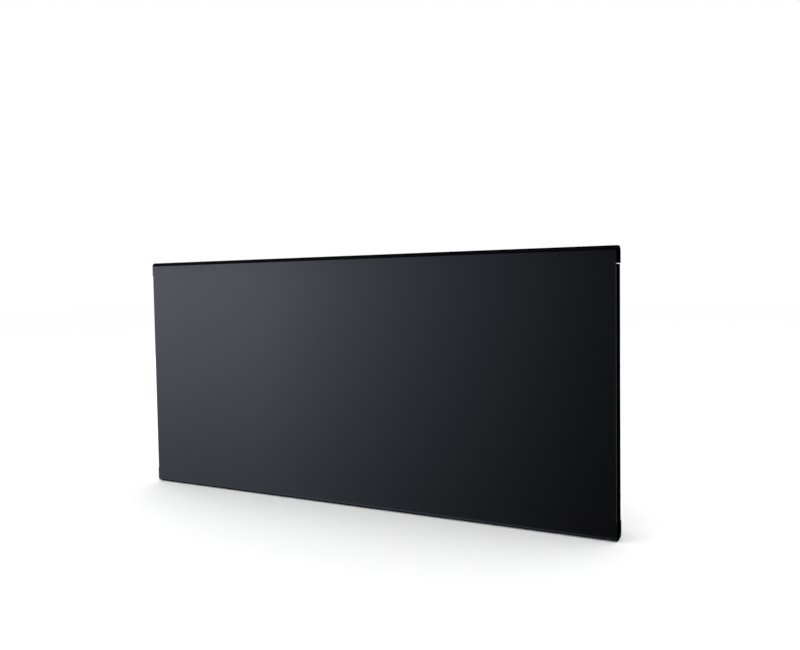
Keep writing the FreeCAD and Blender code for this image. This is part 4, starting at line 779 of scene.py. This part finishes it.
def key_marks():
    """Plus, ring and minus on the three keys."""
    half = MARK_SPAN / 2
    arm = MARK_WIDTH / 2
    level = [(-half, 0), (half, 0)]
    upper = [(0, arm), (0, half)]
    lower = [(0, -half), (0, -arm)]
    drawings = {"plus": (level, upper, lower), "minus": (level,), "mode": (circle(half),)}
    for key, drawing in drawings.items():
        low, high = corners(key + "_button")
        place = laid_on(key + "_button", (low.y + high.y) / 2, (low.z + high.z) / 2)
        lines = [(points, MARK_WIDTH, MARK_RELIEF, place, len(points) > 2) for points in drawing]
        mark(key + "_mark", BODY_OF[key + "_button"], "ink", lines)


def rocker_marks():
    """A bar and a ring on the two halves of the mains rocker."""
    low, high = corners("mains_rocker")
    middle = (low + high) / 2
    reach = (high.z - low.z) / 4
    half = ROCKER_MARK / 2
    above = laid_on("mains_rocker", middle.y, middle.z + reach)
    below = laid_on("mains_rocker", middle.y, middle.z - reach)
    lines = [([(0, -half), (0, half)], MARK_WIDTH, MARK_RELIEF, above),
             (circle(half), MARK_WIDTH, MARK_RELIEF, below, True)]
    mark("rocker_marks", "rocker", "ink", lines)


def lit_digits():
    """Seven-segment digits on the display module, behind the smoked window."""
    low, high = corners("display_module")
    middle = (low + high) / 2
    x = DIGIT_WIDTH / 2
    y = DIGIT_HEIGHT / 2
    ends = {"a": ((-x, y), (x, y)), "b": ((x, y), (x, 0)), "c": ((x, 0), (x, -y)), "d": ((-x, -y), (x, -y)),
            "e": ((-x, 0), (-x, -y)), "f": ((-x, y), (-x, 0)), "g": ((-x, 0), (x, 0))}
    short = SEGMENT_WIDTH / 2 + SEGMENT_GAP
    lines = []
    for i, digit in enumerate(SHOWN_TEMPERATURE):
        along = (i - (len(SHOWN_TEMPERATURE) - 1) / 2) * DIGIT_PITCH
        place = laid_on("display_module", middle.y + along, middle.z)
        for segment in SEGMENTS[digit]:
            start, stop = (Vector(end) for end in ends[segment])
            inset = (stop - start).normalized() * short
            points = [tuple(start + inset), tuple(stop - inset)]
            lines.append((points, SEGMENT_WIDTH, SEGMENT_RELIEF, place))
    mark("display_digits", BODY_OF["display_module"], "segment", lines)


EASED_NODES = {
    PAINTED_EDGE: ("back_panel", "top_grille", "bottom_grille", "left_end_plate", "right_end_plate"),
    STRIP_EDGE: ("panel_hanger_rail", "panel_bottom_clips", "hinge_lugs", "hinge_pins",
                 "bracket_left_upright", "bracket_right_upright", "bracket_upper_rail",
                 "bracket_lower_rail", "left_lift_lock", "right_lift_lock", "lock_pivots"),
    MOULDED_EDGE: ("cord_gland", "control_fascia", "spacer_feet"),
    SMALL_EDGE: ("mains_switch_body", "mains_rocker", "room_sensor", "display_window", "plus_button",
                 "mode_button", "minus_button", "earth_stud"),
}
SCREW_SIZES = {"Head radius": SCREW_HEAD, "Head height": SCREW_HEIGHT, "Shank radius": SCREW_SHANK,
               "Cut span": RECESS_SPAN, "Cut width": RECESS_WIDTH, "Cut depth": RECESS_DEPTH}
RIVET_SIZES = {"Head radius": RIVET_HEAD, "Head height": RIVET_HEIGHT, "Shank radius": RIVET_SHANK,
               "Cut width": MANDREL, "Cut depth": MANDREL_DEPTH}


def build_heater():
    """All pieces that the scene remakes, and the finish of the nodes that stay."""
    for node, shown in frame["nodes"].items():
        shown.data.materials.clear()
        shown.data.materials.append(FINISH[SLOT_OF[node]])
    front_sheet()
    for edge, nodes in EASED_NODES.items():
        for node in nodes:
            eased(node, edge)
    fasteners("casing_screws", "cross_recess_screws", SCREW_SIZES, cross_recess, ends=1)
    fasteners("rivets", "blind_rivets", RIVET_SIZES, mandrel_pit, ends=2)
    key_marks()
    rocker_marks()
    lit_digits()


def softbox(name, at, aim, size, power, colour="#ffffff", glossy=True, spared=()):
    """Soft rectangular light, placed, aimed and sized in mm, with its power in watts.

    The spared pieces are flagged off from it, and reflections see it only where it is glossy.
    """
    data = bpy.data.lights.new(name, "AREA")
    data.shape = "RECTANGLE"
    data.size = size[0] * MM
    data.size_y = size[1] * MM
    data.energy = power
    data.color = linear(colour)[:3]
    lamp = bpy.data.objects.new(name, data)
    lamp.location = Vector(at) * MM
    lamp.rotation_euler = (Vector(aim) - Vector(at)).to_track_quat("-Z", "Y").to_euler()
    lamp.visible_glossy = glossy
    lamp.visible_camera = False
    bpy.context.scene.collection.objects.link(lamp)
    if spared:
        flagged = bpy.data.collections.new(name + "_flagged")
        lamp.light_linking.receiver_collection = flagged
        for piece in spared:
            flagged.objects.link(bpy.data.objects[piece])
        for link in flagged.collection_objects:
            link.light_linking.link_state = "EXCLUDE"


def studio_lights():
    """One large soft light to the front left, weaker ones for the back and the top, and cards for the ends.

    The bounce card lies on the floor behind the heater and lights its back from below.
    """
    softbox("key_softbox", at=(-2400, -2350, -120), aim=(0, -60, 0), size=(2600, 1400), power=41,
            colour="#e4ebff", glossy=False)
    softbox("right_softbox", at=(2500, -150, 1150), aim=(350, -50, 0), size=(1200, 1300), power=16,
            spared=["studio_floor"])
    softbox("back_softbox", at=(2000, 1500, 400), aim=(0, 0, 0), size=(1600, 1600), power=30,
            spared=["front_sheet", "studio_floor"])
    softbox("back_left_softbox", at=(-2200, 1500, 900), aim=(-100, -40, 0), size=(2600, 2000), power=13)
    softbox("right_card", at=(2600, 0, 100), aim=(350, -40, 0), size=(2000, 1600), power=3,
            spared=["studio_floor"])
    softbox("left_card", at=(-2600, 0, 100), aim=(-350, -40, 0), size=(2000, 1600), power=6,
            spared=["front_sheet", "studio_floor"])
    softbox("bounce_card", at=(300, 1000, -184), aim=(300, 1000, 0), size=(2600, 1700), power=10,
            spared=["front_sheet"])
    softbox("top_softbox", at=(0, -400, 2600), aim=(0, -60, 0), size=(2600, 2600), power=20,
            spared=["front_sheet"])


def reflected_glow(tree):
    """Strength of what reflections see on a wall in front.

    A wide glow to the left fades to the right, upwards and downwards, and a weak rim light is to the right.
    """
    way = add(tree, "ShaderNodeTexCoord").outputs["Generated"]
    inward = add(tree, "ShaderNodeSeparateXYZ", {"Vector": way}).outputs["Y"]
    front = add(tree, "ShaderNodeMath", {0: inward, 1: -1.0}, operation="MULTIPLY").outputs["Value"]
    share = add(tree, "ShaderNodeMath", {0: 1.0, 1: front}, operation="DIVIDE").outputs["Value"]
    wall = add(tree, "ShaderNodeVectorMath", {"Vector": way, "Scale": share}, operation="SCALE")
    place = add(tree, "ShaderNodeSeparateXYZ", {"Vector": wall.outputs["Vector"]}).outputs
    across = add(tree, "ShaderNodeMapRange",
                 {"Value": place["X"], "From Min": GLOW_ACROSS[0], "From Max": GLOW_ACROSS[1],
                  "To Min": GLOW_START})
    swell = add(tree, "ShaderNodeMath", {0: across.outputs["Result"], 1: GLOW_SWELL}, operation="POWER")
    fall = add(tree, "ShaderNodeMapRange",
               {"Value": place["Z"], "From Min": GLOW_FALL[0], "From Max": GLOW_FALL[1],
                "To Min": GLOW_LEAST * GLOW_STRENGTH, "To Max": GLOW_STRENGTH})
    rim = add(tree, "ShaderNodeMapRange",
              {"Value": place["X"], "From Min": RIM_ACROSS[0], "From Max": RIM_ACROSS[1],
               "To Max": RIM_STRENGTH})
    strength = add(tree, "ShaderNodeMath",
                   {0: swell.outputs["Value"], 1: fall.outputs["Result"], 2: rim.outputs["Result"]},
                   operation="MULTIPLY_ADD")
    for part, span, least in ((place["Z"], GLOW_TOP, GLOW_ABOVE), (front, GLOW_FRONT, 0.0)):
        fade = add(tree, "ShaderNodeMapRange",
                   {"Value": part, "From Min": span[0], "From Max": span[1], "To Min": least})
        strength = add(tree, "ShaderNodeMath",
                       {0: strength.outputs["Value"], 1: fade.outputs["Result"]}, operation="MULTIPLY")
    return strength.outputs["Value"]


def surroundings():
    """White for the camera, even for soft shadow, and for reflections a dark studio with one wide glow."""
    world = bpy.data.worlds.new("studio")
    bpy.context.scene.world = world
    world.cycles.sampling_method = "NONE"
    world.use_nodes = True
    tree = world.node_tree
    tree.nodes.clear()
    ray = add(tree, "ShaderNodeLightPath").outputs
    seen = add(tree, "ShaderNodeMix",
               {FACTOR: ray["Is Camera Ray"], NUMBER_A: SOFT_STRENGTH, NUMBER_B: BACKDROP_STRENGTH})
    even = add(tree, "ShaderNodeBackground",
               {"Color": linear("#ffffff"), "Strength": seen.outputs[MIXED_NUMBER]})
    dark = add(tree, "ShaderNodeBackground",
               {"Color": linear(GLOW_COLOUR), "Strength": reflected_glow(tree)})
    both = add(tree, "ShaderNodeMixShader",
               {0: ray["Is Glossy Ray"], 1: even.outputs["Background"], 2: dark.outputs["Background"]})
    add(tree, "ShaderNodeOutputWorld", {"Surface": both.outputs["Shader"]})


def studio_floor_plane():
    """Pale floor under the heater."""
    made = bmesh.new()
    drop = CAD_BOX[0].z / MM - FLOOR_DROP
    bmesh.ops.create_grid(made, x_segments=FLOOR_CELLS, y_segments=FLOOR_CELLS, size=FLOOR_SIZE / 2 * MM,
                          matrix=Matrix.Translation(Vector((0, 0, drop)) * MM))
    floor = new_piece("studio_floor", made)
    floor.data.materials.append(studio_floor())
    floor.visible_glossy = False


def camera():
    """Camera at the photograph's place, turned to its yaw, pitch and roll."""
    yaw, pitch, roll = (math.radians(angle) for angle in (CAMERA_YAW, CAMERA_PITCH, CAMERA_ROLL))
    ahead = Vector((-math.sin(yaw) * math.cos(pitch), math.cos(yaw) * math.cos(pitch), -math.sin(pitch)))
    level = Vector((math.cos(yaw), math.sin(yaw), 0))
    above = level.cross(ahead)
    side = level * math.cos(roll) + above * math.sin(roll)
    top = above * math.cos(roll) - level * math.sin(roll)
    data = bpy.data.cameras.new("camera")
    data.lens = CAMERA_LENS
    data.sensor_width = CAMERA_SENSOR
    data.sensor_fit = "HORIZONTAL"
    eye = bpy.data.objects.new("camera", data)
    turn = Matrix((side, top, -ahead)).transposed().to_4x4()
    eye.matrix_world = Matrix.Translation(Vector(CAMERA_AT) * MM) @ turn
    bpy.context.scene.collection.objects.link(eye)
    bpy.context.scene.camera = eye


build_heater()
studio_floor_plane()
studio_lights()
surroundings()
camera()
bpy.context.scene.view_settings.view_transform = "Standard"
